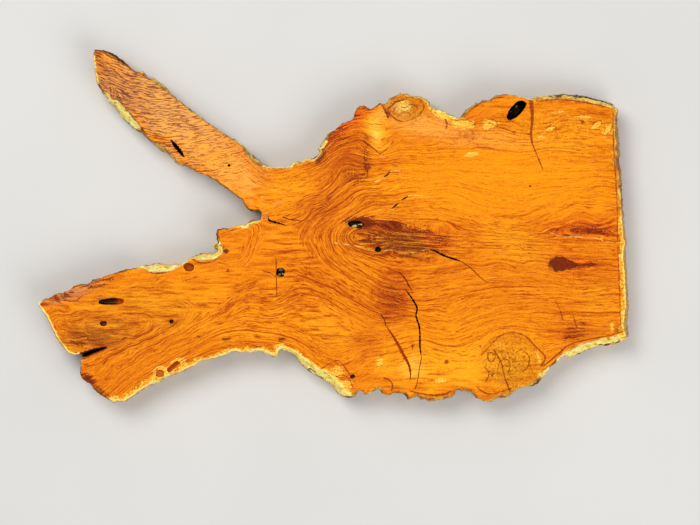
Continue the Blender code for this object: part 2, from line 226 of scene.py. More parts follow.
def cubic(cuts, here, after, here_slope, after_slope):
    """Formula: (1 + 2t)(1 - t)^2 here + t(1 - t)^2 slope here + t^2(3 - 2t) after + t^2(t - 1) slope
    after, for each point and its next one, with t in even steps from 0 to 1."""
    t = np.arange(cuts)[:, None, None] / cuts
    curve = (
        (1 + 2 * t) * (1 - t) ** 2 * here
        + t * (1 - t) ** 2 * here_slope
        + t**2 * (3 - 2 * t) * after
        + t**2 * (t - 1) * after_slope
    )
    return curve.transpose(1, 0, 2).reshape(-1, here.shape[1])


def way_along(curve):
    """The way from a curve's start to each of its points."""
    return np.concatenate([[0], np.cumsum(np.linalg.norm(np.diff(curve[:, :2], axis=0), axis=1))])


def read(curve, along, at):
    """All columns of a curve, read at some ways along it."""
    return np.column_stack([np.interp(at, along, column) for column in curve.T])


def smooth_loop(points, step):
    """Formula: between two neighbours lies a cubic whose slope at each end is the chord from the point
    before to the point after, over the way between them; the curve is then read at even steps."""
    before, after, later = np.roll(points, 1, 0), np.roll(points, -1, 0), np.roll(points, -2, 0)
    chord = np.linalg.norm((after - points)[:, :2], axis=1)[:, None]
    here_slope = (after - before) / (np.roll(chord, 1, 0) + chord) * chord
    next_slope = (later - points) / (chord + np.roll(chord, -1, 0)) * chord
    curve = cubic(LOOP_CUTS, points, after, here_slope, next_slope)
    closed = np.vstack([curve, curve[:1]])
    along = way_along(closed)
    count = round(along[-1] / step)
    return read(closed, along, np.arange(count) * along[-1] / count)


def smooth_path(path, step):
    """Formula: a cubic through each pair of neighbours, its slopes half the chords that span each end,
    read at even steps. The widths are read like the places."""
    points = in_metres(path)
    padded = np.vstack([2 * points[0] - points[1], points, 2 * points[-1] - points[-2]])
    before, here, after, later = padded[:-3], padded[1:-2], padded[2:-1], padded[3:]
    curve = cubic(PATH_CUTS, here, after, (after - before) / 2, (later - here) / 2)
    curve = np.vstack([curve, points[-1:]])
    along = way_along(curve)
    return read(curve, along, np.linspace(0, along[-1], max(2, round(along[-1] / step) + 1)))


loop = smooth_loop(in_metres(OUTLINE)[::-1], EDGE_STEP)
edge, rim_width = loop[:, :2], np.maximum(loop[:, 2], NARROWEST_RIM)
print(len(edge), "columns round an edge of", round(len(edge) * EDGE_STEP, 2), "m")

# %% [markdown]
# ## Irregularity
#
# Nothing that grew is quite smooth. A sum of a few waves in random directions, all of about one
# length, makes an even, never repeating unrest, and stretching the waves along one axis turns bumps
# into ridges. A fixed seed gives the same wood each time.

# %% Ripples
WAVES = 14
PITCHES = 0.7, 1.4  # shortest and longest, as shares of the size


def ripples(points, size, seed):
    """Formula: the mean of cosines of the place times a random direction over the size along each
    axis, plus a random phase, scaled so that it mostly lies between -1 and 1."""
    draw = np.random.default_rng(seed)
    points = np.asarray(points)
    direction = draw.normal(size=(WAVES, points.shape[1]))
    direction /= np.linalg.norm(direction, axis=1, keepdims=True)
    pitch = draw.uniform(*PITCHES, (WAVES, 1))
    turns = points / np.asarray(size, float) @ (direction * pitch).T
    return np.cos(2 * math.pi * (turns + draw.uniform(size=WAVES))).sum(1) / math.sqrt(WAVES)


def unrest(points, *layers):
    """The sum of ripples, each with a height, a size and a seed."""
    return sum(height * ripples(points, size, seed) for height, size, seed in layers)


def smoothstep(low, high, value):
    """Formula: 0 below low, 1 above high, and 3t^2 - 2t^3 of the share t in between. It falls from 1
    to 0 where low is the greater."""
    t = np.clip((value - low) / (high - low), 0, 1)
    return t * t * (3 - 2 * t)


# %% [markdown]
# ## The grown edge
#
# Seen from the side the edge is a bark-side surface cut by two saw kerfs. It leaves the underside a
# little drawn in, swells to its widest line and rounds over to the face. So it is a profile, carried
# along the outline: one parameter runs round the slab and the other up the edge.

# %% Directions out of the edge
NORMAL_REACH = 5 * MM
NOTCH, NOTCH_BORDER = ((82, 344), (112, 360)), 1.5  # the split in the lower limb's end, in pixels
EDGE_UNREST = (0.22 * MM, 5 * MM, 1), (0.12 * MM, 2.6 * MM, 2)
RIM_UNREST = (0.2, 9 * MM, 3), (0.1, 4 * MM, 4)  # shares of the rim's width
RELAX_ROUNDS = 10


def outward(loop, reach):
    """Formula: the chord from the point one reach back to the point one reach on, turned a quarter
    clockwise, of length one."""
    shift = max(1, round(reach / EDGE_STEP))
    chord = np.roll(loop, -shift, 0) - np.roll(loop, shift, 0)
    normal = np.column_stack([chord[:, 1], -chord[:, 0]])
    return normal / np.linalg.norm(normal, axis=1, keepdims=True)


def relax(ring, rounds):
    """Formula: each point moves to the mean of its neighbours and twice itself, again and again."""
    for _ in range(rounds):
        ring = (np.roll(ring, 1, 0) + 2 * ring + np.roll(ring, -1, 0)) / 4
    return ring


def box_mask(points, corners, soft):
    """1 inside a box of pixels and 0 outside it, with a soft border."""
    (x0, y0), (x1, y1) = corners
    x, y = pixels(points).T
    mask = smoothstep(x0 - soft, x0 + soft, x) * smoothstep(x1 + soft, x1 - soft, x)
    return mask * smoothstep(y0 - soft, y0 + soft, y) * smoothstep(y1 + soft, y1 - soft, y)


normal = outward(edge, NORMAL_REACH)
in_split = box_mask(edge, NOTCH, NOTCH_BORDER)
edge = edge + normal * (unrest(edge, *EDGE_UNREST) * (1 - in_split))[:, None]
inset = relax(normal * (rim_width * (1 + unrest(edge, *RIM_UNREST)))[:, None], RELAX_ROUNDS)
rim = edge - inset
print("rim from", (rim_width.min() / MM).round(1), "to", (rim_width.max() / MM).round(1), "mm wide")

# %% Edge profile
BULGE_DEPTH, BULGE_SLOPE, DEEPEST_BULGE = 2 * MM, 2.3, 22 * MM
UNDERCUT, UNDERCUT_WAVE, NO_UNDERCUT_RIM = 2.5 * MM, 45 * MM, 4 * MM
CLOSED_SHARE = 0.033  # what is left of a closed split's width
ROWS_BELOW, ROWS_ABOVE = 11, 10
SHOULDER_TURN = math.radians(64)  # the rounding stops short of level, so the face keeps a rim line


def edge_surface():
    """Formula: below the widest line the edge draws in by the undercut times (1 - height share)^1.5.
    Above it, with a turning from 0 to the shoulder's turn, it rises by sin a and goes in by 1 - cos a,
    both over their last value."""
    bulge = np.minimum(BULGE_DEPTH + BULGE_SLOPE * rim_width, DEEPEST_BULGE)
    turns = 2 * math.pi * np.arange(len(edge)) * EDGE_STEP / UNDERCUT_WAVE
    undercut = UNDERCUT * (0.7 + 0.3 * np.sin(turns)) * np.clip(1 - rim_width / NO_UNDERCUT_RIM, 0.1, 1)
    share = np.linspace(0, 1, ROWS_BELOW)[:, None]
    height_below = share * (THICKNESS - bulge)
    inward_below = (1 - share) ** 1.5 * undercut
    below = np.dstack([edge - normal * inward_below[..., None], height_below[..., None]])
    a = np.linspace(0, SHOULDER_TURN, ROWS_ABOVE + 1)[1:, None]
    rise = np.sin(a) / math.sin(SHOULDER_TURN)
    draw_in = (1 - np.cos(a)) / (1 - math.cos(SHOULDER_TURN))
    above = np.dstack([edge - inset * draw_in[..., None], (THICKNESS - bulge + bulge * rise)[..., None]])
    return np.vstack([below, above])


def close_below(surface, mask, root, depth):
    """Formula: a masked column's distance from the root shrinks to a thirtieth at the depth below
    the face, by the smooth step of its height."""
    open_share = smoothstep(THICKNESS - depth, THICKNESS, surface[..., 2])[..., None]
    open_share = open_share * (1 - CLOSED_SHARE) + CLOSED_SHARE
    closed = root + (surface[..., :2] - root) * open_share
    keep = mask[None, :, None]
    return np.dstack([surface[..., :2] * (1 - keep) + closed * keep, surface[..., 2:]])


SPLIT_ROOT, SPLIT_DEPTH = place((79.5, 357.5)), 15 * MM
skin = close_below(edge_surface(), in_split, SPLIT_ROOT, SPLIT_DEPTH)
print("edge of", skin.shape[0], "rows and", skin.shape[1], "columns")

# %% [markdown]
# ## Bark and ridges
#
# The limbs were roughly peeled. Below the rim, plates of bark are left standing about a millimetre
# proud of sapwood that is ridged along the grain. One field decides where bark is, and it raises the
# surface as well as browning it, so colour and shape agree. The sawn end carries neither: there the
# saw has left coarse slanting furrows.

# %% Relief of the edge
PLATE, RIDGE, KNOB, FURROW = 0.9 * MM, 0.35 * MM, 0.35 * MM, 0.25 * MM
PLATE_LAYERS = (0.75, (26 * MM, 26 * MM, 11 * MM), 5), (0.4, (7 * MM, 7 * MM, 4 * MM), 6)
RIDGE_SIZE, KNOB_SIZE = (18 * MM, 18 * MM, 2.6 * MM), (9 * MM, 9 * MM, 7 * MM)
FURROW_SIZE = 60 * MM, 2.2 * MM, 12 * MM
# Boxes of two corners in pixels with their softness: cut by the saw, and with bark up to the face.
SAWN = ((612, 112), (640, 338), 2), ((80, 52), (95.5, 82), 1.2), ((30, 304), (72, 356), 1.5)
BARKED = ((97, 44), (124, 62), 7), ((571, 86), (616, 104), 7)

flat_skin = skin.reshape(-1, 3)
sawn = np.max([box_mask(flat_skin, (low, high), soft) for low, high, soft in SAWN], axis=0)
# The level is 0 on the underside, 1 at the widest line and 2 on the face.
below_widest, above_widest = np.linspace(0, 1, ROWS_BELOW), 1 + np.linspace(0, 1, ROWS_ABOVE + 1)[1:]
level = np.repeat(np.concatenate([below_widest, above_widest]), len(edge))
plates = unrest(flat_skin, *PLATE_LAYERS)
bark = smoothstep(-0.15, 0.2, plates - 1.3 * smoothstep(0.8, 1.35, level)) * (1 - sawn)
above_waist, under_face = smoothstep(0.5, 0.9, level), smoothstep(1.95, 1.6, level)
for low, high, soft in BARKED:
    cover = smoothstep(0.15, 0.5, box_mask(flat_skin, (low, high), soft) + 0.5 * plates)
    bark = np.maximum(bark, cover * above_waist * under_face)
ridges, knobs = ripples(flat_skin, RIDGE_SIZE, 7), ripples(flat_skin, KNOB_SIZE, 8)
furrows = ripples(flat_skin, FURROW_SIZE, 9)
relief = (1 - sawn) * (PLATE * bark - PLATE + RIDGE * ridges * (1 - 0.5 * bark) + KNOB * knobs)
relief = relief + sawn * FURROW * (furrows - 1)
free = smoothstep(0, 0.25, level) * smoothstep(0, 0.35, 2 - level) * np.tile(1 - in_split, len(skin))
flat_skin[:, :2] += np.tile(normal, (len(skin), 1)) * (relief * free)[:, None]
skin = flat_skin.reshape(skin.shape)
print("bark on", round(100 * bark.mean()), "% of the edge")

# %% [markdown]
# ## Holes and splits
#
# Insects and drying opened the face in many places. A hole is a bowl on an elliptical mouth, and a
# split is a wedge that follows a path and closes to a line. Both are sunk into the skin as rings of
# points, so they have real walls that hold real shadow.

# %% Holes
# Each is an ellipse: the two ends of its long axis and its width in pixels, and its depth.
HOLES = {
    "knot_hole": ((508, 119), (524.6, 101), 10.5, 17 * MM),
    "gallery": ((98.5, 302), (124.5, 301), 6.5, 5 * MM),
    "round_hole": ((276, 272.5), (285, 272.5), 9, 9 * MM),
    "heart_knot_hole": ((348, 223.5), (364, 225), 7, 7 * MM),
    "pith_hole": ((375, 249.5), (381, 249.5), 5.5, 5 * MM),
    "sapwood_hole": ((160, 369.8), (159.6, 377), 8, 2.5 * MM),
    "sapwood_slot": ((167, 371.5), (179, 361.5), 5.5, 4 * MM),
    "limb_hole": ((183.5, 266.8), (194, 267.3), 8.5, 4 * MM),
    "small_gallery": ((100, 323.5), (107, 323.5), 5.5, 3 * MM),
    "pinhole_by_the_slit": ((227.5, 165.5), (230.5, 165.5), 2.6, 3 * MM),
    "pinhole_in_the_arches": ((169.3, 321.5), (173.7, 321.5), 4, 3 * MM),
    "pinhole_in_the_sapwood": ((444.5, 362), (448.5, 362), 4, 1.5 * MM),
    "scar_by_the_rim": ((350, 377.5), (355, 375.5), 4, 3 * MM),
}
HOLE_STEP = 0.8 * MM
BOWL_ROWS = 7
BLUNTNESS = 0.8
MOUTH_UNREST, MOUTH_WAVE = 0.07, 1.2  # in radii
HOLE_SEED = 20


def blunt(share):
    """Formula: the share to the power of 0.8, with its sign kept, which fills an ellipse's corners."""
    return np.sign(share) * np.abs(share) ** BLUNTNESS


def hole_rings(start, end, width, depth, seed):
    """Formula: an ellipse on the long axis, its radius unsettled by ripples, shrinks with depth share v
    by (1 - v^4)^(1/4) while it sinks by v, so that the walls are steep and the floor is round."""
    start, end = place(start), place(end)
    middle, along = (start + end) / 2, (end - start) / 2
    across = np.array([-along[1], along[0]]) / np.linalg.norm(along) * width * PIXEL / 2
    round_mouth = math.pi * (np.linalg.norm(along) + np.linalg.norm(across))
    count = max(10, round(round_mouth / HOLE_STEP))
    turn = 2 * math.pi * np.arange(count)[:, None] / count
    mouth = blunt(np.cos(turn)) * along + blunt(np.sin(turn)) * across
    circle = np.column_stack([np.cos(turn), np.sin(turn)])
    mouth = mouth * (1 + unrest(circle, (MOUTH_UNREST, MOUTH_WAVE, seed)))[:, None]
    v = np.sin(np.linspace(0, math.pi / 2, BOWL_ROWS + 1))[:-1]
    shrink = (1 - v**4) ** 0.25
    rings = middle + shrink[:, None, None] * mouth
    heights = THICKNESS - depth * np.broadcast_to(v[:, None], rings.shape[:2])
    floor = np.array([[*middle, THICKNESS - depth]])
    return np.dstack([rings, heights]), floor


# %% Splits
# Each runs through points x, y, width in pixels, and has a depth.
SPLITS = {
    "limb_slit": ([(170.5, 139.5, 0.5), (174, 144, 4), (180, 151.5, 4), (184.5, 157.5, 0.5)], 6 * MM),
    "heart_split": (
        [(386, 326, 0.4), (391, 333, 2), (396, 341, 2.6), (400, 348, 3.4), (403, 354, 4),
         (407, 361, 2.8), (409.5, 367, 2.2), (410.5, 374, 1.8), (410, 380, 0.4)],
        3 * MM,
    ),
    "long_split": (
        [(405, 289, 0.4), (412, 298.5, 1.8), (417, 308, 1.8), (416, 316, 1.6), (419.5, 328, 1.8),
         (420, 346, 1.8), (421.5, 358, 0.4)],
        6 * MM,
    ),
    "trunk_split": (
        [(430, 249.5, 0.4), (436, 251.5, 1.8), (445, 256, 2), (457, 260, 1.6), (462, 262, 0.4)],
        5 * MM,
    ),
    "fork_split": ([(268, 216, 0.4), (269.5, 220.5, 1.8), (280, 223.5, 1.6), (286, 225.5, 0.4)], 5 * MM),
}
SPLIT_STEP = 0.8 * MM
WEDGE_ROWS = 5
SIDE_UNREST, SIDE_WAVE = 0.3, 2.5 * MM  # of half the width, and along the path
SPLIT_SEED = 40


def sideways(middle):
    """A unit vector square to the path at each of its points."""
    run = np.gradient(middle, axis=0)
    return np.column_stack([-run[:, 1], run[:, 0]]) / np.linalg.norm(run, axis=1, keepdims=True)


def split_rings(path, depth, seed):
    """Formula: both sides of the path, half a width away and a little ragged, draw together with depth
    share v by 1 - v while they sink by v, shallower towards the ends, and meet in the path itself."""
    path = smooth_path(path, SPLIT_STEP)
    middle, half = path[:, :2], path[:, 2:] / 2
    side = sideways(middle)
    ragged = 1 + unrest(middle, (SIDE_UNREST, SIDE_WAVE, seed))[:, None]
    deep = depth * np.clip(half[:, 0] / half.max() * 1.6, 0.1, 1)
    v = np.linspace(0, 1, WEDGE_ROWS + 1)[:-1, None, None]
    right = middle - side * half * ragged * (1 - v)
    left = middle + side * half * ragged * (1 - v)
    rings = np.concatenate([right, left[:, ::-1]], axis=1)
    heights = THICKNESS - v[..., 0] * np.concatenate([deep, deep[::-1]])
    return np.dstack([rings, heights]), np.column_stack([middle, THICKNESS - deep])


print(len(HOLES), "holes and", len(SPLITS), "splits")

# %% [markdown]
# ## Fine lines
#
# Hairline checks, resin seams and the outlines of the burls are thinner than the skin's own mesh.
# Each is a path with a width, and the mesh gets five rows of points along it, so that the line can be
# sunk a little into the wood and coloured sharply.

# %% Line paths
# Each has a finish, a depth, and points x, y, width in pixels.
LINES = [
    ("check", 0.5, [(462, 262, 0.8), (468, 266, 0.8), (474, 271, 0.8), (480, 277, 0.6), (488, 283, 0.4)]),
    ("check", 0.6, [(399, 272, 0.8), (403, 276, 1.2), (406, 280, 1), (409, 286, 1.2), (412, 290, 0.6)]),
    ("check", 0.3, [(421.5, 358, 0.8), (419.5, 368, 0.6), (418.5, 375, 0.6), (417, 383, 0.6),
        (415, 389, 0.8)]),
    ("check", 0.3, [(381, 315, 0.8), (384, 319, 0.8), (386, 326, 0.6)]),
    ("thread", 0.2, [(375, 182, 1.2), (378, 180.5, 1.4), (383, 178, 1.2), (386, 176, 1)]),
    ("check", 0.5, [(384, 177, 0.8), (387, 175, 1.8), (390, 172, 1)]),
    ("thread", 0.2, [(390, 171.5, 1), (396, 170.5, 0.8), (404, 171, 0.6)]),
    ("thread", 0.2, [(386, 212, 1), (390, 210.5, 1), (394, 208.5, 0.8)]),
    ("check", 0.6, [(392, 208.5, 1), (395, 206, 1.8), (398, 203.5, 1.2)]),
    ("check", 0.6, [(402, 200, 1.2), (405, 198, 1.6), (408, 196.5, 0.8)]),
    ("thread", 0.2, [(408, 196, 1.2), (414, 195, 0.9), (430, 197, 0.6)]),
    ("check", 0.4, [(283, 217, 1), (288, 219, 1), (296, 220, 0.8), (301, 221, 0.5)]),
    ("thread", 0.2, [(330, 242, 0.6), (343, 244, 1), (356, 246, 1), (366, 248.5, 0.8), (374, 251, 0.6)]),
    ("thread", 0.2, [(383, 251, 0.8), (392, 250, 0.8), (402, 253, 0.6), (416, 252, 0.6),
        (428, 249, 0.6)]),
    ("seam", 0.2, [(326, 160, 0.4), (333, 152, 0.4), (342, 146, 0.4), (352, 141, 0.5), (364, 141, 0.9),
        (372, 147, 1.1), (380, 154, 0.8)]),
    ("seam", 0.2, [(380, 154, 0.6), (387, 149, 0.6), (393, 141, 0.3)]),
    ("seam", 0.2, [(276, 258, 0.9), (276.3, 270, 0.9), (276.5, 285, 0.9), (276.8, 297, 0.6)]),
    ("seam", 0.2, [(263, 271, 0.7), (270, 273, 0.7), (276, 277, 0.7)]),
    ("seam", 0.2, [(285, 272, 0.8), (294, 271, 0.6)]),
    ("seam", 0.3, [(531, 100, 4), (532, 112, 3.2), (532, 125, 2.8), (531, 133, 2.4), (532, 142, 2),
        (535, 150, 1), (539, 160, 0.8), (543, 170, 0.5)]),
    ("seam", 0.1, [(555, 300, 0.6), (559, 308, 0.6), (563, 320, 0.6)]),
    ("seam", 0.2, [(573, 314, 0.8), (575, 322, 0.8), (577, 328, 1.2)]),
    ("thread", 0.1, [(462, 207, 0.1), (480, 219, 0.2), (500, 234, 0.2), (507, 237, 0.1)]),
    ("seam", 0.1, [(508, 243, 0.1), (520, 247, 0.2), (533, 256, 0.1)]),
    ("seam", 0.3, [(502, 367, 0.8), (506, 381, 1.2), (510, 391, 1.4)]),
    ("thread", 0.3, [(545, 230, 0.6), (560, 236, 0.8), (580, 237, 1), (600, 239, 1), (605, 242, 0.8),
        (628, 243, 0.8)]),
    ("seam", 0.2, [(364.5, 156, 0.5), (365.5, 164, 0.9), (367.5, 171, 0.9), (367, 177, 0.5)]),
    ("seam", 0.2, [(445, 119, 1.2), (447, 124, 1), (446, 129, 0.8)]),
    ("seam", 0.2, [(52, 298, 0.7), (60, 300, 0.8), (75, 301, 0.8), (82, 296, 0.8), (90, 293, 0.6)]),
    ("seam", 0.3, [(143, 266.5, 1), (152, 273, 1), (165, 272.5, 1), (178, 266.5, 1.2), (190, 259, 1.2),
        (197, 262, 1), (206, 263, 1), (215, 260, 1), (221, 253, 1), (224, 246, 1)]),
    ("seam", 0.2, [(481, 355, 0.9), (490, 346, 0.9), (500, 336, 0.8), (512, 332, 0.8), (525, 336, 0.8),
        (535, 346, 0.9), (545, 357, 1.3), (541, 366, 1.6)]),
    ("seam", 0.2, [(488, 353, 0.8), (492, 352.5, 0.8), (495.5, 357, 0.8), (492, 361.5, 0.8),
        (488, 359, 0.8), (488, 353, 0.8)]),
    ("seam", 0.2, [(494, 350, 1.1), (499, 358, 1.1), (503, 367, 1.2)]),
    ("seam", 0.2, [(389, 108, 1.5), (394, 104, 1.2), (398, 101, 1.2), (404, 100, 0.7)]),
    ("seam", 0.2, [(388, 112, 0.8), (397, 120, 0.9), (407, 121, 0.6), (419, 115, 0.7), (424, 106, 0.8),
        (419, 99, 0.7), (410, 97, 0.6)]),
    ("seam", 0.2, [(382, 105, 1.5), (385, 110, 2), (388, 117, 1.4)]),
    ("seam", 0.2, [(321, 369, 0.6), (331, 363, 0.6), (339, 361, 0.6), (346, 369, 0.6), (351, 377, 0.6)]),
    ("seam", 0.2, [(336, 377, 0.6), (343, 375, 0.6), (349, 379, 0.6), (353, 387, 0.6)]),
    ("seam", 0.2, [(384, 378, 1), (389, 380, 1.2), (392.5, 385, 1), (391, 392, 0.8)]),
    ("seam", 0.2, [(489, 123, 0.6), (502, 128, 0.8), (515, 132, 0.8), (528, 134, 0.8)]),
    ("seam", 0.1, [(497, 372, 0.6), (500, 362, 0.6), (506, 359, 0.6), (510, 364, 0.6), (508, 374, 0.6)]),
    ("seam", 0.1, [(515, 353, 0.6), (522, 350, 0.6), (529, 357, 0.6), (527, 368, 0.6), (519, 373, 0.6)]),
    ("seam", 0.1, [(484, 366, 0.6), (489, 373, 0.6), (486, 382, 0.6)]),
    ("seam", 0.2, [(464, 117, 0.6), (472, 109, 0.9), (482, 103, 1), (494, 98.5, 0.9), (505, 97, 0.6)]),
    ("seam", 0.2, [(537, 101.5, 0.6), (550, 100, 0.8), (566, 100, 1), (582, 102, 1), (600, 105.5, 0.8),
        (612, 109, 0.5)]),
    ("seam", 0.1, [(393, 112, 0.6), (398, 106, 0.7), (405, 108, 0.6), (411, 104, 0.6), (417, 108, 0.5)]),
    ("seam", 0.1, [(398, 116, 0.5), (404, 112, 0.6), (412, 114, 0.5)]),
    ("thread", 0.2, [(155, 368.5, 0.9), (153.2, 374, 0.9), (156.5, 380, 0.9), (163, 380, 0.9),
        (166.2, 374, 0.9), (165.5, 368, 0.9), (159.5, 366.3, 0.9), (155, 368.5, 0.9)]),
    ("thread", 0.2, [(167, 377, 0.8), (173, 375.5, 0.8), (180, 370, 1), (185, 364.5, 1.3),
        (183.5, 359, 1), (176, 360.5, 0.8), (168, 367, 0.8)]),
    ("seam", 0.1, [(591, 127.5, 0.3), (595, 122, 0.4), (601, 121, 0.4), (600.5, 126, 0.4),
        (594, 129, 0.3)]),
    ("seam", 0.1, [(603.5, 133.5, 0.3), (606, 127, 0.4), (611, 123.5, 0.4), (612, 129, 0.4),
        (606, 135, 0.3)]),
    ("seam", 0.1, [(545, 130, 0.3), (550, 126, 0.4), (556, 127, 0.4), (553, 131, 0.4), (547, 133, 0.3)]),
    ("seam", 0.1, [(455, 121, 0.3), (462, 119.5, 0.4), (472, 122, 0.4), (475, 127, 0.4),
        (466, 129, 0.3)]),
    ("seam", 0.1, [(482, 125, 0.3), (488, 119.5, 0.4), (496, 121, 0.4), (497, 127, 0.4),
        (489, 129, 0.3)]),
    ("seam", 0.2, [(613, 112, 0.4), (613.5, 140, 0.7), (615, 168, 0.8), (617, 205, 0.5), (618, 250, 0.6),
        (619.5, 290, 0.6), (620.5, 325, 0.7)]),
    ("seam", 0.3, [(410, 391, 0.9), (420, 393.5, 1.2), (432, 395, 1.4), (444, 394.5, 1.2),
        (451, 391, 0.8)]),
    ("seam", 0.2, [(477, 387, 0.8), (484, 392.5, 1), (493, 394, 1.1), (503, 391, 0.8), (514, 387, 0.6)]),
    ("seam", 0.2, [(544, 366, 1.2), (551, 360, 1.4), (560, 352.5, 1.2), (569, 345, 1), (590, 339, 0.9),
        (610, 335.5, 0.9), (623, 331.5, 0.9)]),
]
LINE_STEP = 0.75 * MM
LINE_ROWS = np.array([-1.7, -0.55, 0, 0.55, 1.7])  # in widths from the line
NARROWEST_LINE = 0.7 * MM


def line_points(path):
    """Formula: the path, and four more rows square to it at shares of its width, which counts as 0.7
    mm at least."""
    path = smooth_path(path, LINE_STEP)
    width = np.maximum(path[:, 2:], NARROWEST_LINE)
    side = sideways(path[:, :2])
    return (path[:, :2] + LINE_ROWS[:, None, None] * width * side).reshape(-1, 2)


print(len(LINES), "fine lines")

# %% [markdown]
# ## The sawn faces
#
# A flat face with a ragged outline and holes has no two tidy parameters, so it is filled instead: an
# even grid of points inside the rim, with the rim, the mouths and the fine lines as given points, all
# joined by Delaunay's rule, which makes the roundest triangles there can be.

# %% Distances
CHUNK = 3000
ROW_RISE = 0.866  # the height of a triangle of side 1


def in_chunks(points, work):
    """What the work gives for each point, got from a few thousand points at a time."""
    return np.concatenate([work(p) for p in np.array_split(points, max(1, len(points) // CHUNK))])


def square_gaps(a, b):
    """Formula: the squared distance between each of a and each of b, |a|^2 - 2 a.b + |b|^2."""
    return (a**2).sum(1)[:, None] - 2 * a @ b.T + (b**2).sum(1)


def nearest(points, targets):
    """The number of the closest target for each point, and how far off it is."""

    def closest(p):
        squares = square_gaps(p, targets)
        return np.column_stack([squares.argmin(1), squares.min(1)])

    number, squares = in_chunks(points, closest).T
    return number.astype(int), np.sqrt(np.maximum(squares, 0))


def inside(points, ring):
    """Formula: a point lies inside where a line from it to the right crosses the ring an odd number
    of times."""
    ahead = np.roll(ring, -1, 0)
    rise = np.where(ahead[:, 1] == ring[:, 1], 1, ahead[:, 1] - ring[:, 1])

    def odd(p):
        x, y = p[:, :1], p[:, 1:]
        spans = (ring[:, 1] > y) != (ahead[:, 1] > y)
        cross = ring[:, 0] + (y - ring[:, 1]) / rise * (ahead[:, 0] - ring[:, 0])
        return (spans & (cross > x)).sum(1) % 2 == 1

    return in_chunks(points, odd)


def honeycomb(ring, step):
    """Formula: rows of points a step apart, each row moved half a step against the last."""
    rise, low = step * ROW_RISE, ring.min(0)
    width, height = ring.max(0) - low
    rows, columns = np.mgrid[0 : int(height / rise) + 1, 0 : int(width / step) + 1]
    across = low[0] + (columns + 0.5 * (rows % 2)) * step
    grid = np.dstack([across, low[1] + rows * step * ROW_RISE]).reshape(-1, 2)
    return grid[inside(grid, ring)]


# %% Skin builder
points, faces = [], []
mouths, sunk_ids = [], {}


def add(new):
    """Adds points to the skin and gives back their numbers, in the shape that the points came in."""
    start = sum(len(p) for p in points)
    points.append(new.reshape(-1, 3))
    return start + np.arange(points[-1].shape[0]).reshape(new.shape[:-1])


def flat_points(ids):
    """x and y of the points with these numbers."""
    return np.vstack(points)[ids, :2]


def bridge(first, second):
    """Faces between two rings of as many points; a side that has no length leaves a triangle."""
    quads = np.column_stack([first, np.roll(first, -1), np.roll(second, -1), second])
    pinched = quads[:, 2] == quads[:, 3]
    faces.extend(quads[~pinched].tolist())
    faces.extend(quads[pinched, :3].tolist())


def sink(name, rings, floor):
    """Adds a hole's rings and its floor, which is one point or a path where both walls meet, joins
    them, and keeps the numbers of its mouth and of the points below it."""
    ids, bottom = add(rings), add(floor)
    mouths.append(ids[0])
    sunk_ids[name] = np.append(ids[1:], bottom)
    for upper, lower in zip(ids, ids[1:]):
        bridge(upper, lower)
    bridge(ids[-1], np.resize(np.append(bottom, bottom[::-1]), ids.shape[1]))


def outside(places, mouths):
    """Which places lie in none of the mouths."""
    free = np.ones(len(places), bool)
    for mouth in mouths:
        hole = flat_points(mouth)
        near = np.flatnonzero(((places > hole.min(0)) & (places < hole.max(0))).all(1))
        free[near[inside(places[near], hole)]] = False
    return free


def fill(ring, mouths, loose, upwards):
    """Joins a ring, the mouths inside it and loose points into triangles, and leaves the mouths open."""
    rings = [ring, *mouths]
    numbers = np.concatenate([*rings, loose])
    flat = flat_points(numbers)
    sides, start = [], 0
    for r in rings:
        here = start + np.arange(len(r))
        sides.append(np.column_stack([here, np.roll(here, -1)]))
        start += len(r)
    made = delaunay_2d_cdt(flat.tolist(), np.vstack(sides).tolist(), [], 1, 1e-7, False)
    triangles = np.array(made[2])
    assert len(made[0]) == len(flat), f"{len(made[0]) - len(flat)} points were added or merged"
    centres = flat[triangles].mean(1)
    kept = numbers[triangles[inside(centres, flat[: len(ring)]) & outside(centres, mouths)]]
    faces.extend((kept if upwards else kept[:, ::-1]).tolist())
    return len(kept)


# %% Sinking the holes and splits
skin_ids = add(skin)
for low, high in zip(skin_ids, skin_ids[1:]):
    bridge(low, high)
for seed, (name, size) in enumerate(HOLES.items(), HOLE_SEED):
    sink(name, *hole_rings(*size, seed))
for seed, (name, size) in enumerate(SPLITS.items(), SPLIT_SEED):
    sink(name, *split_rings(*size, seed))
print(len(mouths), "mouths sunk,", len(faces), "faces so far")

# %% Filling the faces
TOP_STEP, BOTTOM_STEP = 1.4 * MM, 4 * MM
TOP_CLEARANCE, BOTTOM_CLEARANCE = 0.62, 0.31  # of a step, between loose points and given ones
LINE_CLEARANCE, LINE_GRID = 0.45 * MM, 0.35 * MM  # from given points, and between line points

rim_ring, under_ring = skin[-1, :, :2], skin[0, :, :2]
given = np.vstack([rim_ring, *map(flat_points, mouths)])
lines = np.vstack([line_points(path) for _, _, path in LINES])
lines = lines[inside(lines, rim_ring)]
lines = lines[nearest(lines, given)[1] > LINE_CLEARANCE]
lines = lines[outside(lines, mouths)]
_, first = np.unique(np.round(lines / LINE_GRID).astype(int), axis=0, return_index=True)
lines = lines[np.sort(first)]
grid = honeycomb(rim_ring, TOP_STEP)
grid = grid[outside(grid, mouths)]
grid = grid[nearest(grid, np.vstack([given, lines]))[1] > TOP_CLEARANCE * TOP_STEP]
loose = np.vstack([lines, grid])
face_ids = add(np.column_stack([loose, np.full(len(loose), THICKNESS)]))
top_count = fill(skin_ids[-1], mouths, face_ids, True)
under = honeycomb(under_ring, BOTTOM_STEP)
under = under[nearest(under, under_ring)[1] > BOTTOM_CLEARANCE * BOTTOM_STEP]
under_ids = add(np.column_stack([under, np.zeros(len(under))]))
bottom_count = fill(skin_ids[0], [], under_ids, False)
print(top_count, "triangles on the face and", bottom_count, "on the underside")
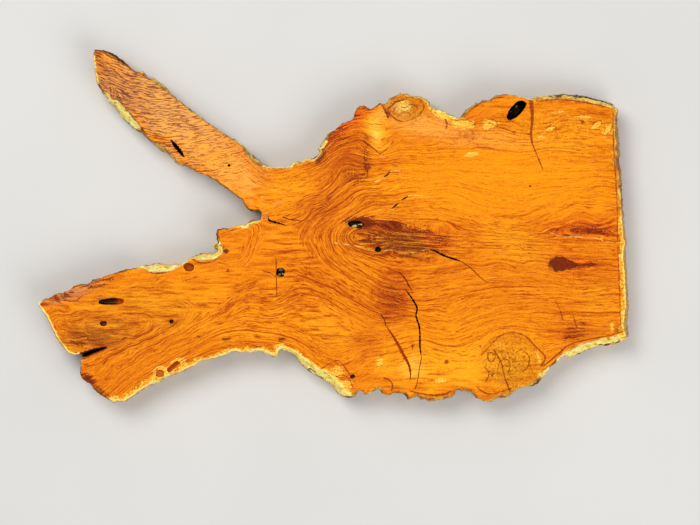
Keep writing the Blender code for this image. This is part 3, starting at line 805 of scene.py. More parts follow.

# %% [markdown]
# ## The run of the grain
#
# On a plank cut this way the growth rings show as long lines that follow the trunk, split round the
# crotch and feather where the two limbs pressed together. Noise can't invent that, so the main lines
# are traced, each with its count of rings from the trunk's pith, and a smooth surface is bent
# through them. Its height at any place is the ring there, and its contours are the grain.

# %% Traced rings
GRAIN = [
    # Trunk, below the pith.
    (0.0, [(352, 236), (372, 238), (400, 240), (440, 243), (480, 245), (520, 247), (560, 249), (600, 250),
        (630, 250)]),
    (7.0, [(345, 252), (360, 262), (372, 268), (385, 274), (400, 276), (420, 275), (445, 272), (470, 268),
        (500, 266), (540, 268)]),
    (10.0, [(332, 252), (341, 262), (352, 270), (366, 278), (380, 285), (392, 288), (410, 289),
        (430, 287), (455, 283), (480, 280.5), (505, 278), (540, 278), (580, 281), (622, 281)]),
    (13.0, [(385, 195), (375, 195), (365, 196), (357, 202), (350, 208), (340, 214), (328, 220),
        (319, 226), (315, 233), (317, 241), (322, 251), (329, 260), (338, 267), (347, 273), (358, 279),
        (367, 285), (378, 292), (391, 296), (402, 301), (416, 301.5), (440, 299), (455, 296), (470, 293),
        (490, 289), (510, 288), (540, 287.5), (575, 290), (605, 287.5), (624, 288)]),
    (16.0, [(372, 187), (360, 187), (351, 190), (343, 196), (335, 202), (325, 208), (315, 214),
        (308, 222), (301, 231), (299, 240), (300, 250), (303, 262), (307, 269), (316, 275), (330, 282),
        (345, 290), (357, 296), (368, 302), (380, 308), (395, 310), (418, 313), (435, 313), (450, 316),
        (461, 312), (470, 306.5), (482, 302), (500, 299), (520, 297), (560, 297), (620, 298)]),
    (19.0, [(95, 388), (110, 378), (135, 362), (160, 347), (185, 334), (205, 322), (225, 309), (237, 299),
        (247, 293), (262, 293), (276, 294), (282, 291), (290, 286), (303, 284), (315, 287), (330, 293),
        (345, 302), (357, 309), (370, 316), (385, 320), (400, 318), (415, 317), (435, 324), (455, 324),
        (470, 318), (490, 313), (520, 310), (560, 309), (620, 310)]),
    (23.0, [(105, 393), (118, 382), (140, 366), (165, 351), (180, 343), (210, 328), (228, 321),
        (245, 315), (262, 317), (276, 316.5), (290, 311), (303, 310), (315, 314), (330, 321), (345, 329),
        (357, 334), (380, 334), (400, 331), (425, 332), (450, 335), (470, 328), (490, 321), (520, 318),
        (555, 321), (600, 323)]),
    (27.5, [(130, 385), (150, 373), (170, 361), (190, 350), (205, 342), (225, 334), (262, 334),
        (285, 338), (297, 343), (312, 352), (325, 360), (340, 364), (365, 352), (400, 346), (425, 342),
        (445, 348), (465, 347), (480, 341), (500, 330), (520, 331), (555, 334), (600, 333)]),
    (33.0, [(160, 378), (200, 359), (230, 350), (262, 350), (290, 352), (310, 372), (330, 385),
        (345, 395), (380, 392), (420, 394), (460, 388), (490, 400), (540, 380), (560, 357), (600, 344)]),
    # Trunk, above the pith.
    (6.0, [(400, 214), (430, 214), (455, 219), (480, 226), (505, 232), (530, 230), (560, 222),
        (600, 219)]),
    (9.5, [(395, 203), (425, 201), (450, 201), (465, 205), (480, 210), (495, 214), (508, 215), (522, 214),
        (535, 209), (550, 203), (575, 196), (600, 194)]),
    (12.5, [(395, 196), (420, 192), (445, 190), (462, 192), (478, 199), (495, 203), (510, 204),
        (528, 202), (545, 197), (560, 194), (580, 191), (617, 189)]),
    (14.5, [(400, 186), (430, 185), (455, 184), (470, 187), (480, 190), (495, 193), (515, 193),
        (545, 190), (575, 187), (618, 185)]),
    (16.5, [(390, 180), (410, 180), (440, 179), (465, 181), (490, 184), (520, 184), (545, 182),
        (580, 181), (618, 180.5)]),
    (20.0, [(375, 172), (400, 170), (430, 171), (470, 172), (500, 172.5), (540, 171), (618, 170)]),
    (23.5, [(378, 161), (400, 159), (440, 159), (480, 160), (530, 161), (618, 160)]),
    (27.0, [(381, 154), (400, 150), (430, 150), (465, 149), (500, 150), (545, 147.5), (575, 149),
        (617, 152)]),
    (29.5, [(357, 138), (365, 142), (373, 147.5), (380, 152.5), (387, 148), (394, 140), (410, 139),
        (440, 139), (475, 139), (500, 141), (560, 141), (618, 143)]),
    (34.0, [(362, 122), (380, 124), (400, 124), (430, 122), (455, 128), (485, 127), (503, 126),
        (525, 133), (545, 132), (575, 127), (612, 130)]),
    (38.0, [(362, 108), (400, 96), (430, 106), (458, 118), (480, 103), (510, 96), (560, 98), (610, 106)]),
    # Crotch, arms that run on into the upper limb.
    (18.5, [(305, 215), (304, 211), (312, 206), (325, 202), (333, 196), (341, 188), (348, 183),
        (357, 178)]),
    (21.5, [(339, 165), (333, 177), (323, 186), (312, 191), (297, 197), (282, 200), (262, 199),
        (240, 183), (215, 163), (190, 145), (160, 124), (130, 100), (108, 78)]),
    (25.0, [(345, 153), (332, 160), (318, 169), (300, 176), (280, 180), (262, 177), (245, 164),
        (220, 145), (190, 124), (160, 103), (130, 82), (110, 66)]),
    (29.5, [(357, 138), (347, 140.5), (337, 143), (326, 152.5), (316, 160), (300, 165), (283, 170),
        (266, 170), (252, 158), (235, 143)]),
    (23.0, [(262, 209), (250, 205), (236, 193), (215, 175), (190, 161), (165, 146), (145, 128),
        (125, 108)]),
    # Crotch, on the lower limb's side.
    (15.0, [(257, 224), (258, 232), (257, 240), (253, 252), (248, 261), (241, 265.5), (230, 267),
        (215, 268), (200, 271), (180, 273), (155, 277), (130, 281), (105, 288), (85, 294), (66, 301)]),
    (13.5, [(251, 228), (251, 238), (247, 250), (241, 260), (225, 262)]),
    (16.5, [(274, 229), (271, 240), (268, 253), (261, 270), (251, 281), (240, 285), (220, 281),
        (200, 282), (180, 285), (150, 291), (125, 296), (95, 301), (65, 306)]),
    # Lower limb, nested arches that open towards its end.
    (17.2, [(48, 311), (65, 308.2), (98, 304.5), (130, 299.6), (150, 295), (168, 291), (190, 288.5),
        (214, 288)]),
    (17.5, [(65, 311), (98, 308), (130, 303), (165, 297), (190, 294), (208, 296), (218, 301), (213, 308),
        (203, 315), (185, 327), (165, 338), (140, 351), (115, 365), (92, 379)]),
    (15.5, [(62, 314), (97, 312), (130, 306), (155, 301.5), (176, 301), (184, 303), (189, 309),
        (187, 316), (182, 323), (172, 330), (160, 335), (145, 341), (128, 348), (110, 358), (90, 370)]),
    (13.0, [(62, 317), (100, 314.5), (125, 312), (143, 312), (152, 316), (156, 321), (154, 327),
        (148, 333), (136, 339), (120, 344), (102, 350), (84, 357)]),
    (11.0, [(62, 324), (90, 323), (118, 322), (135, 323)]),
    (12.5, [(62, 334), (85, 337), (105, 338), (125, 335)]),
]
print(len(GRAIN), "traced rings,", sum(len(line) for _, line in GRAIN), "points")

# %% Ring surface
SPLINE_REACH = 100  # pixels
SOFTNESS = 2e-3  # how little the surface minds missing a point
NO_GAP = 1e-12  # keeps the logarithm of a gap of nothing finite


def plate_bend(a, b):
    """Formula: half of d^2 log d^2, the bend of a thin plate held at one point, with d in reaches."""
    squares = np.maximum(square_gaps(a, b), 0)
    return 0.5 * squares * np.log(squares + NO_GAP)


def fit_rings():
    """Formula: the weights of one bend for each traced point, and of a tilted plane, that give the
    least bent surface through the traced counts."""
    knots = np.array([p for _, line in GRAIN for p in line], float) / SPLINE_REACH
    counts = np.array([count for count, line in GRAIN for _ in line], float)
    plane = np.column_stack([np.ones(len(knots)), knots])
    system = np.block([
        [plate_bend(knots, knots) + SOFTNESS * np.eye(len(knots)), plane],
        [plane.T, np.zeros((3, 3))],
    ])
    return knots, np.linalg.solve(system, np.concatenate([counts, np.zeros(3)]))


def rings_at(at, knots, weights):
    """The ring count at places in pixels."""

    def count(p):
        return plate_bend(p, knots) @ weights[:-3] + weights[-3] + p @ weights[-2:]

    return in_chunks(at / SPLINE_REACH, count)


PITH = [(352, 236), (372, 238), (400, 240), (440, 243), (480, 245), (520, 247), (560, 249), (640, 251)]
RINGS_PER_PIXEL = 0.345
STEEP, SLACK = (0.07, 0.19), (0.13, 0.3)  # rings a pixel where one starts and ends to count as such
PITH_REACH, PITH_START = (9, 21), (372, 400)  # pixels from the pith, and along it, to fade over

co = np.vstack(points)
at = pixels(co)
surface = fit_rings()
ring = rings_at(at, *surface)
slope = np.hypot(*(rings_at(at + step, *surface) - ring for step in ((1, 0), (0, 1))))
steep, slack = smoothstep(*STEEP, slope), 1 - smoothstep(*SLACK, slope)
from_pith = np.abs(at[:, 1] - np.interp(at[:, 0], *np.array(PITH).T))
by_pith = (1 - smoothstep(*PITH_REACH, from_pith)) * smoothstep(*PITH_START, at[:, 0])
ring += (from_pith * RINGS_PER_PIXEL - ring) * by_pith
steep, slack = np.maximum(steep, by_pith), slack * (1 - by_pith)
print("rings from", ring.min().round(1), "to", ring.max().round(1))

# %% [markdown]
# ## Burls and depth
#
# Two burls interrupt the grain with closed curls of their own. Inside them the ring count gives way
# to the distance from the burl's eye. Below the face the rings are cylinders round the pith, so the
# count at a depth is the long side of a right triangle on the count at the face and the depth.

# %% Burls
RING_DEPTH = 3.6 * MM  # one ring's thickness
# Each has a middle, two radii and a turn in degrees, and the pixels from one curl to the next.
BURLS = [((405, 109), (21, 14), 10, 3.2), ((511, 366), (36, 34), 0, 4.5)]
BURL_BORDER = 0.7, 1.05  # in radii
BURL_CORE = 12  # the ring count in a burl's eye
BURL_UNREST = (0.9, 26, 60), (0.5, 11, 61)


def ellipse_distance(at, middle, radii, turn):
    """The distance from the middle in radii of the ellipse, whose long axis is turned clockwise."""
    angle = math.radians(turn)
    spin = np.array([[math.cos(angle), -math.sin(angle)], [math.sin(angle), math.cos(angle)]])
    return np.linalg.norm((at - np.array(middle)) @ spin / radii, axis=1)


burl = np.zeros(len(co))
for middle, radii, turn, pitch in BURLS:
    away = ellipse_distance(at, middle, radii, turn)
    here = 1 - smoothstep(*BURL_BORDER, away)
    ring = ring * (1 - here) + here * (BURL_CORE + away * radii[0] / pitch + unrest(at, *BURL_UNREST))
    burl = np.maximum(burl, here)
depth = np.clip(THICKNESS - co[:, 2], 0, None)
ring = np.hypot(ring, depth / RING_DEPTH)
print("burls cover", round(100 * burl.mean()), "% of the points")

# %% [markdown]
# ## Colour of the wood
#
# Oiled plum is amber, redder in the crotch and round knots, browner where it was wounded, and honey
# or straw towards the sapwood. The tones are mixed like paint: a ground of amber, then soft patches,
# each laid over the last, whose borders are unsettled along the grain.

# %% Tones
TONES = {
    "amber": (226, 122, 12),
    "orange": (238, 136, 8),
    "honey": (244, 147, 12),
    "gold": (250, 166, 26),
    "lemon": (252, 224, 98),
    "straw": (238, 206, 118),
    "cream": (255, 246, 160),
    "apricot": (244, 162, 62),
    "ember": (222, 82, 18),
    "rust": (204, 90, 10),
    "russet": (156, 48, 10),
    "maroon": (92, 14, 10),
    "blood": (148, 30, 16),
    "cocoa": (124, 64, 24),
    "tan": (224, 156, 88),
    "rose": (186, 116, 80),
    "olive": (206, 136, 24),
    "bark": (66, 34, 22),
    "char": (18, 8, 6),
}


def linear(tone):
    """Formula: the screen's 0 to 255 to light, ((c + 0.055) / 1.055)^2.4."""
    share = np.array(TONES[tone]) / 255
    return np.where(share > 0.04045, ((share + 0.055) / 1.055) ** 2.4, share / 12.92)


PATCH_BORDER = 0.3, 1.2  # in radii
PATCH_UNREST = (0.16, 1, 70), (0.1, 0.4, 71)
GRAIN_REACH, GRAIN_PACE = 22, 1.1  # pixels along the grain, and turns for a ring across it
# Each patch has a tone, a middle, two radii and a turn in pixels and degrees, and a strength.
PATCHES = [
    ("honey", (500, 180), (170, 45), 0, 0.9),
    ("honey", (290, 205), (60, 40), 0, 0.5),
    ("honey", (470, 350), (120, 50), 0, 0.8),
    ("gold", (450, 368), (80, 26), 0, 0.7),
    ("gold", (515, 245), (46, 22), 25, 0.5),
    ("apricot", (425, 124), (45, 15), 8, 0.9),
    ("apricot", (480, 138), (60, 12), 5, 0.6),
    ("gold", (560, 132), (75, 24), 0, 0.6),
    ("gold", (376, 133), (15, 25), -8, 1.0),
    ("lemon", (375, 131), (8, 18), -8, 0.25),
    ("tan", (165, 112), (120, 34), 38, 1.0),
    ("apricot", (222, 165), (52, 20), 38, 0.9),
    ("rose", (120, 92), (42, 26), 45, 1.0),
    ("tan", (168, 98), (60, 8), 38, 0.6),
    ("russet", (99, 62), (9, 15), -20, 0.5),
    ("orange", (200, 285), (90, 25), -8, 0.5),
    ("honey", (250, 322), (80, 22), -8, 0.5),
    ("olive", (130, 315), (80, 34), -10, 0.45),
    ("rust", (112, 328), (58, 22), -8, 0.5),
    ("cocoa", (92, 338), (46, 18), -10, 0.55),
    ("russet", (76, 344), (22, 10), -10, 0.3),
    ("rose", (72, 293), (34, 8), -18, 0.7),
    ("rust", (345, 160), (30, 38), 20, 0.95),
    ("russet", (350, 170), (22, 24), 20, 0.32),
    ("rust", (322, 205), (42, 22), -40, 0.8),
    ("russet", (335, 130), (20, 7), -42, 0.65),
    ("rose", (352, 112), (12, 7), -30, 0.4),
    ("ember", (339, 127), (29, 13), -42, 0.95),
    ("ember", (352, 118), (17, 12), -35, 0.7),
    ("ember", (362, 108), (14, 8), -15, 0.7),
    ("ember", (383, 163), (5, 5), 0, 0.6),
    ("apricot", (383, 114), (9, 8), 0, 0.9),
    ("blood", (340, 117), (20, 6), -40, 0.85),
    ("blood", (361, 106), (8, 4), -15, 0.5),
    ("blood", (328, 134), (10, 5), -52, 0.6),
    ("rust", (364, 108), (14, 8), 0, 0.7),
    ("russet", (322, 156), (7, 12), 25, 0.6),
    ("rust", (320, 250), (18, 42), 0, 0.45),
    ("russet", (396, 239), (60, 21), 4, 0.8),
    ("cocoa", (408, 243), (44, 14), 6, 0.7),
    ("rust", (392, 296), (24, 32), 0, 1.0),
    ("rust", (395, 292), (22, 28), 0, 1.0),
    ("russet", (392, 296), (20, 28), 0, 0.5),
    ("cocoa", (226, 339.5), (5.4, 3.2), 0, 0.75),
    ("cocoa", (257, 336.5), (4.2, 2.8), 0, 0.75),
    ("cocoa", (281.5, 339.5), (5, 3), 0, 0.8),
    ("cocoa", (306.5, 363), (4.6, 3.4), 0, 0.75),
    ("cocoa", (225, 250), (5, 4), 0, 0.5),
    ("cocoa", (103.5, 323.5), (6, 4.6), 0, 0.6),
    ("cocoa", (171.5, 321.5), (5, 4), 0, 0.6),
    ("lemon", (412, 368), (14, 14), 0, 0.25),
    ("gold", (385, 362), (12, 14), 0, 0.6),
    ("gold", (330, 330), (40, 22), 20, 0.35),
    ("gold", (600, 300), (30, 20), 0, 0.3),
    ("gold", (290, 185), (26, 12), 0, 0.4),
    ("rust", (366, 342), (16, 16), 0, 0.6),
    ("ember", (588, 229), (44, 13), 3, 0.6),
    ("russet", (588, 230), (38, 9), 3, 0.4),
    ("rust", (590, 264), (38, 22), 0, 0.4),
    ("rust", (568, 332), (28, 13), 0, 0.8),
    ("russet", (575, 331), (12, 10), 0, 0.5),
    ("ember", (568, 263), (24, 13), 4, 0.5),
    ("ember", (436, 238), (22, 14), 15, 0.4),
    ("cocoa", (620, 331), (6, 6), 0, 0.6),
    ("olive", (406, 108), (22, 14), 10, 0.75),
    ("straw", (402, 107), (10, 7), 0, 0.6),
    ("olive", (512, 366), (34, 32), 0, 0.75),
    ("gold", (522, 352), (12, 9), 0, 0.5),
    ("maroon", (86, 380), (9, 5), 35, 0.8),
    ("cocoa", (98, 391), (14, 6), 35, 0.7),
    ("rose", (264, 215), (7, 4), 20, 0.5),
]


colour = np.tile(linear("amber"), (len(co), 1))
along_grain = np.column_stack([at / GRAIN_REACH, ring * GRAIN_PACE])
unsettled = unrest(along_grain, *PATCH_UNREST)
for tone, middle, radii, turn, strength in PATCHES:
    away = ellipse_distance(at, middle, radii, turn) + unsettled
    cover = strength * (1 - smoothstep(*PATCH_BORDER, away))
    colour += (linear(tone) - colour) * cover[:, None]
print(len(PATCHES), "patches of", len(TONES), "tones")

# %% [markdown]
# ## Stains and flecks
#
# A stain in wood is not soft: it follows single fibres and ends in flecks. So a stain is kept as a
# density only, and the material compares that density with its own grain to place each fleck. The
# same goes for the pale flecks of ray wood, with one painted highlight of the oil among them, and for
# the curls in the burls.

# %% Stains
# Each stain has a middle, two radii and a turn in pixels and degrees, and a density.
DARK_STAINS = [
    ((560, 264), (14, 9), 0, 0.42),
    ((581, 265), (15, 4), -4, 0.66),
    ((578, 259), (16, 3), 8, 0.6),
    ((362, 222.5), (20, 6.5), 2, 1.2),
    ((384, 225), (26, 5), 6, 0.92),
    ((336, 139), (20, 9), -42, 0.58),
    ((321, 154), (5, 11), 25, 0.9),
    ((344, 117), (15, 4.5), -38, 0.95),
    ((331, 131), (8, 4.5), -52, 0.95),
    ((368, 108), (8, 5), -20, 0.6),
    ((420, 231), (30, 8), 8, 0.66),
    ((440, 238), (14, 9), 20, 0.64),
    ((428, 247), (18, 7), 10, 0.55),
    ((372, 234), (6, 14), -25, 0.6),
    ((395, 240), (54, 20), 4, 0.52),
    ((588, 230), (36, 9), 3, 0.56),
    ((342, 129), (14, 8), -30, 0.6),
    ((324, 146), (6, 9), 30, 0.8),
    ((352, 118), (10, 6), -20, 0.6),
    ((367, 168), (5, 13), -8, 0.68),
    ((352, 175), (16, 12), 0, 0.5),
    ((366, 152), (5, 22), -4, 0.6),
    ((361, 178), (14, 7), -20, 0.58),
    ((330, 200), (24, 8), -42, 0.46),
    ((394, 300), (20, 30), 0, 0.46),
    ((88, 379), (10, 6), 35, 0.95),
    ((96, 389), (14, 6), 38, 0.7),
    ((92, 353), (16, 3.5), -22, 0.95),
    ((80, 343), (26, 9), -12, 0.46),
    ((62, 297), (28, 5), -18, 0.6),
    ((100, 283), (50, 6), -18, 0.5),
    ((570, 334), (19, 9), 0, 0.56),
    ((582, 326), (6, 12), 0, 0.5),
    ((620, 331), (6, 6), 0, 0.6),
    ((225.5, 251.5), (3, 2.5), 0, 1.0),
    ((228, 271), (2.6, 2.2), 0, 0.9),
    ((226, 340), (5, 3), 0, 0.62),
    ((257, 336.5), (4, 2.4), 0, 0.7),
    ((281.5, 339.5), (5, 3), 0, 0.7),
    ((257, 347), (3, 2), 0, 0.6),
    ((306.5, 363), (4, 3), 0, 0.6),
    ((200, 337), (3, 2), 0, 0.6),
    ((412.5, 347), (1.6, 4), 0, 0.8),
    ((492.5, 374.5), (2.4, 2.4), 0, 0.9),
    ((582.5, 121.5), (2.4, 2.2), 0, 0.9),
    ((530, 186), (2, 1.6), 0, 0.9),
    ((458, 332), (3, 1.6), 0, 0.7),
    ((388, 113), (4, 7), -20, 0.7),
    ((398, 101), (12, 2.6), -15, 0.6),
    ((112, 70), (30, 3), 40, 0.55),
    ((122, 96), (22, 14), 45, 0.4),
]
PALE_STAINS_AND_HIGHLIGHT = [
    ((464, 124), (12, 5), 5, 1.1),
    ((490, 124), (8.5, 5), 0, 1.0),
    ((440, 116), (12, 4), 25, 0.7),
    ((597, 125), (6.5, 3.2), -30, 1.2),
    ((608, 129.5), (3.6, 7.5), 35, 1.2),
    ((550.5, 129), (5, 2.6), -10, 0.8),
    ((583, 117), (9, 2.6), 0, 0.7),
    ((560, 112), (14, 3), 0, 0.55),
    # A painted highlight: a small glare off the oil, laid in as a pale stain.
    ((473, 154), (9, 2.2), 0, 0.9),
    ((612, 327), (2.2, 5.5), 0, 0.9),
    ((441, 381), (8, 4.5), 0, 0.75),
    ((345, 387), (8, 9), 0, 0.8),
    ((337, 373), (9, 8), 0, 0.7),
    ((380, 362), (4.5, 8), 0, 0.6),
    ((402, 106), (11, 6), 10, 0.62),
    ((376, 136), (5, 14), -12, 0.45),
    ((538, 357), (3, 9), -20, 0.6),
    ((520, 388), (8, 3), 0, 0.55),
    ((500, 345), (7, 4), 0, 0.5),
    ((162, 373), (11, 7), -24, 0.95),
    ((175, 365), (12, 6.5), -38, 0.9),
    ((183, 365), (5, 3), -30, 1.1),
    ((542, 137), (5, 2), 0, 0.7),
]
EYE_PATCHES = [
    ((512, 366), (34, 32), 0, 1.0),
    ((406, 108), (21, 13), 10, 0.9),
    ((468, 136), (24, 8), 4, 0.7),
    ((562, 126), (44, 20), 0, 0.6),
    ((205, 172), (24, 20), 30, 0.4),
    ((316, 355), (18, 9), 40, 0.4),
]
KNOTS = [((559, 264), (10.5, 7.6), 0), ((568, 264.5), (9, 4.4), 8)]
STAIN_REACH = 1.25  # in radii
STAIN_UNREST, KNOT_UNREST = (0.18, 0.7), (0.12, 7, 76)


def density(stains, seed):
    """Formula: for each place the greatest density times 1 - t^2, with t the unsettled distance from
    the stain's middle in its radii."""
    unsettled = 1 + unrest(along_grain, (*STAIN_UNREST, seed))
    cover = np.zeros(len(at))
    for middle, radii, turn, strength in stains:
        away = ellipse_distance(at, middle, radii, turn) * unsettled
        cover = np.maximum(cover, strength * np.clip(1 - (away / STAIN_REACH) ** 2, 0, 1))
    return cover


dark_stain = density(DARK_STAINS, 72)
pale_stain = density(PALE_STAINS_AND_HIGHLIGHT, 73)
eyes = density(EYE_PATCHES, 74)
knot = np.max([-ellipse_distance(at, *place_of) for place_of in KNOTS], axis=0)
knot = np.maximum(1 + knot - unrest(at, KNOT_UNREST), -1)
covers = [round(100 * (stain > 0.3).mean(), 1) for stain in (dark_stain, pale_stain)]
print("stains dark on", covers[0], "and pale on", covers[1], "%")

# %% [markdown]
# ## Lines and the rim on the face
#
# A hairline must stay sharp, so the skin holds no line but the distance from it: the material turns
# that distance into an edge as fine as the picture can show. The same is done for the sapwood that
# reaches onto the face, as a distance from the rim and a width of the band at that place.

# %% Line gaps
GAP_LIMIT = 6 * MM
SUNK = 0.6  # millimetres that a line of depth 1 goes into the face
GROOVE = 0.5 * MM, -0.2 * MM  # distances at which a groove starts and is at its deepest
gaps = {finish: np.full(len(co), GAP_LIMIT) for finish in ("check", "seam", "thread")}
on_face = co[:, 2] > THICKNESS - 0.01 * MM


def gap_from(places, path):
    """Formula: the distance to the nearest stretch of the path, less half the width read there."""
    start, run = path[:-1, :2], np.diff(path[:, :2], axis=0)
    share = np.clip(((places[:, None] - start) * run).sum(2) / (run**2).sum(1), 0, 1)
    away = np.linalg.norm(places[:, None] - start - share[..., None] * run, axis=2)
    best = away.argmin(1)
    row = np.arange(len(places))
    width = path[best, 2] + share[row, best] * (path[best + 1, 2] - path[best, 2])
    return away[row, best] - width / 2


face_z = co[:, 2].copy()
for finish, sunk, path in LINES:
    path = smooth_path(path, LINE_STEP)
    low, high = path[:, :2].min(0) - GAP_LIMIT, path[:, :2].max(0) + GAP_LIMIT
    near = np.flatnonzero(on_face & (co[:, :2] > low).all(1) & (co[:, :2] < high).all(1))
    gap = gap_from(co[near, :2], path)
    gaps[finish][near] = np.minimum(gaps[finish][near], gap)
    face_z[near] -= SUNK * sunk * MM * smoothstep(*GROOVE, gap)
co[:, 2] = face_z
print("lines measured and sunk")

# %% Rim gap
PALE_RIM = 2.5 * MM, 4.5 * MM  # widths at which the rim starts to turn pale and is quite pale
BAND_UNREST, BAND_BORDER = (0.3, 11 * MM, 75), 3
DEEP_RIM = 10 * MM  # beyond this the distance from the rim no longer matters
# Each band lies in a box of pixels, reaches so many pixels onto the face, and has a paleness.
BANDS = [
    ((108, 352), (200, 404), 4.6, 0.62),
    ((195, 334), (300, 360), 3.2, 0.66),
    ((286, 338), (352, 404), 2.2, 1),
    ((352, 378), (480, 408), 3, 0.3),
    ((476, 374), (560, 408), 2, 0.3),
    ((556, 330), (632, 362), 0.6, 1),
    ((611, 98), (640, 215), 3.6, 0.42),
    ((611, 215), (640, 350), 4, 0.6),
    ((526, 88), (616, 108), 2.6, 0.46),
    ((456, 88), (526, 124), 1.4, 0.3),
    ((428, 96), (460, 124), 2.4, 0.8),
    ((384, 88), (430, 108), 1.2, 0.4),
    ((34, 300), (82, 362), 1.4, 1),
    ((90, 55), (99, 84), 1.2, 1),
    ((150, 70), (262, 168), 0.5, 0.4),
    ((228, 215), (262, 232), 0.8, 1),
    ((262, 150), (330, 170), 0.6, 1),
    ((136, 240), (226, 274), 0.6, 1),
]

band_width, paleness = np.zeros(len(edge)), smoothstep(*PALE_RIM, rim_width)
for low, high, width, pale in BANDS:
    here = box_mask(rim, (low, high), BAND_BORDER)
    band_width = np.maximum(band_width, width * PIXEL * here)
    paleness += (pale - paleness) * here
band_width *= 1 + unrest(rim, BAND_UNREST)
column, rim_gap = nearest(co[:, :2], rim)
rim_gap = np.where(on_face, np.minimum(rim_gap, DEEP_RIM), 0)
band = np.maximum(band_width, 0)[column]
print("band of sapwood on the face up to", round(band.max() / MM, 1), "mm wide")

# %% Colour of the edge
# How dark each hole is painted, where it isn't black: partly its stained wood, partly painted shade.
DARKNESS = {
    "limb_hole": 0.36, "sapwood_hole": 0.16, "sapwood_slot": 0.26, "heart_split": 0.3,
    "small_gallery": 0.6, "pinhole_in_the_arches": 0.7, "pinhole_in_the_sapwood": 0.4,
    "scar_by_the_rim": 0.7,
}
# Pale fluff and frass in the holes: a middle, two radii and a turn in pixels and degrees, a density.
FLUFF = [
    ((513.5, 111), (2.2, 1.6), 0, 1.0), ((518, 105), (1.5, 1.2), 0, 0.9),
    ((354.5, 226), (3, 1.5), -15, 1.0), ((361, 224.3), (2, 1.3), 0, 0.9),
    ((280.5, 270), (2.6, 1.8), 0, 1.0), ((279, 274.5), (2, 1.6), 0, 0.9),
    ((282.5, 274), (1.4, 1.4), 0, 0.9),
]
# The walls of the split in the lower limb's end are painted dark: painted shade in the split.
NOTCH_WALLS, NOTCH_SHADE = ((80, 344), (107, 357)), 0.8
SAWN_LOSS = 0.75  # how much of the sapwood's colour the saw took
SAP_ON_FACE = 0.2 * MM, 1 * MM  # widths of the band at which sapwood starts and is full
# A hole's colour darkens with depth as painted shade, starting from its darkness at the mouth.
MOUTH_DARK, DARK_DEPTH = 0.45, 3 * MM  # a hole's darkness at its mouth, and where it is full
GALLERY_END, GALLERY_LOSS = (110, 118), 0.66  # pixels where the gallery opens and is less dark
WALL_LEVELS = 0.95, 1.4  # from the wall below the widest line to the rim above it


def over_all(values, elsewhere=0.0):
    """Values of the edge's points, spread over all points of the skin."""
    whole = np.full(len(co), elsewhere)
    whole[skin_ids.ravel()] = values
    return whole


on_edge, bark_all = over_all(1.0), over_all(bark)
sapwood = on_edge * (1 - SAWN_LOSS * over_all(sawn))
sapwood[skin_ids[-1]] = smoothstep(*SAP_ON_FACE, band_width)
hollow = np.zeros(len(co))
# Holes and splits are painted darker with depth: stained wood at the mouth, painted shade deeper in.
for name, ids in sunk_ids.items():
    darker = (1 - MOUTH_DARK) * smoothstep(0, DARK_DEPTH, depth[ids])
    hollow[ids] = (MOUTH_DARK + darker) * DARKNESS.get(name, 1)
in_gallery = sunk_ids["gallery"]
hollow[in_gallery] *= 1 - GALLERY_LOSS * smoothstep(*GALLERY_END, at[in_gallery, 0])
fluff = density(FLUFF, 77) * (hollow > 0)
# Painted shade on the walls of the split in the lower limb's end.
hollow = np.maximum(hollow, NOTCH_SHADE * on_edge * box_mask(co, NOTCH_WALLS, 1))
below = on_edge * (1 - smoothstep(*WALL_LEVELS, over_all(level, 2.0)))
print("sapwood on", round(100 * sapwood.mean()), "% of the points")

# %% Strength of the figure
# Each area is an ellipse: a middle, two radii, a turn, the start of its border and what it adds.
FIGURE_AREAS = [
    ((335, 235), (66, 100), 20, 0.5, 0.5),
    ((110, 330), (95, 45), -20, 0.5, 0.35),
    ((395, 240), (55, 22), 4, 0.5, 0.7),
    ((265, 318), (95, 34), 8, 0.5, 0.55),
    ((500, 180), (110, 40), 0, 0.6, -0.5),
    ((425, 128), (50, 20), 0, 0.6, -0.4),
]
CALM_ARCHES, CALM = ((132, 303), (76, 13), -6), 0.75
AREA_END = 1.1  # where an area's border ends, in radii
LIMB_START, LIMB_SLANT, LIMB_LOW = (225, 275), (0.5, 160), 215  # pixels
SAW_FADE = 235, 150  # pixels between which the saw marks grow from half to full strength
SAWN_OVER = 0.85  # how much of the upper limb's figure the saw marks hide
LEAST_FIGURE = 0.06

slanted = at[:, 0] + LIMB_SLANT[0] * (at[:, 1] - LIMB_SLANT[1])
upper_limb = (1 - smoothstep(*LIMB_START, slanted)) * (at[:, 1] < LIMB_LOW)
kerf = upper_limb * (0.5 + 0.5 * smoothstep(*SAW_FADE, at[:, 0]))
figure = 1 - SAWN_OVER * upper_limb
for middle, radii, turn, border, more in FIGURE_AREAS:
    figure *= 1 + more * (1 - smoothstep(border, AREA_END, ellipse_distance(at, middle, radii, turn)))
calm = CALM * (1 - smoothstep(0.5, AREA_END, ellipse_distance(at, *CALM_ARCHES)))
steep = steep * (1 - calm)
plain = figure * (1 - steep)
figure = figure * (LEAST_FIGURE + (1 - LEAST_FIGURE) * steep)
print("figure strength from", figure.min().round(2), "to", figure.max().round(2))

# %% The skin as a mesh
SHARP_FROM = math.radians(40)
mesh = bpy.data.meshes.new("slab_wood")
mesh.from_pydata(co.tolist(), [], faces)
mesh.update()
slab = bpy.data.objects.new("slab_wood", mesh)
bpy.context.collection.objects.link(slab)
mesh.shade_smooth()
mesh.set_sharp_from_angle(angle=SHARP_FROM)


def give(**fields):
    """Stores one number or one colour for each point of the skin under each name."""
    for name, values in fields.items():
        kind, key = ("FLOAT", "value") if values.ndim == 1 else ("FLOAT_COLOR", "color")
        if values.ndim == 2:
            values = np.column_stack([values, np.ones(len(values))])
        attribute = mesh.attributes.new(name, kind, "POINT")
        attribute.data.foreach_set(key, values.astype(np.float32).ravel())


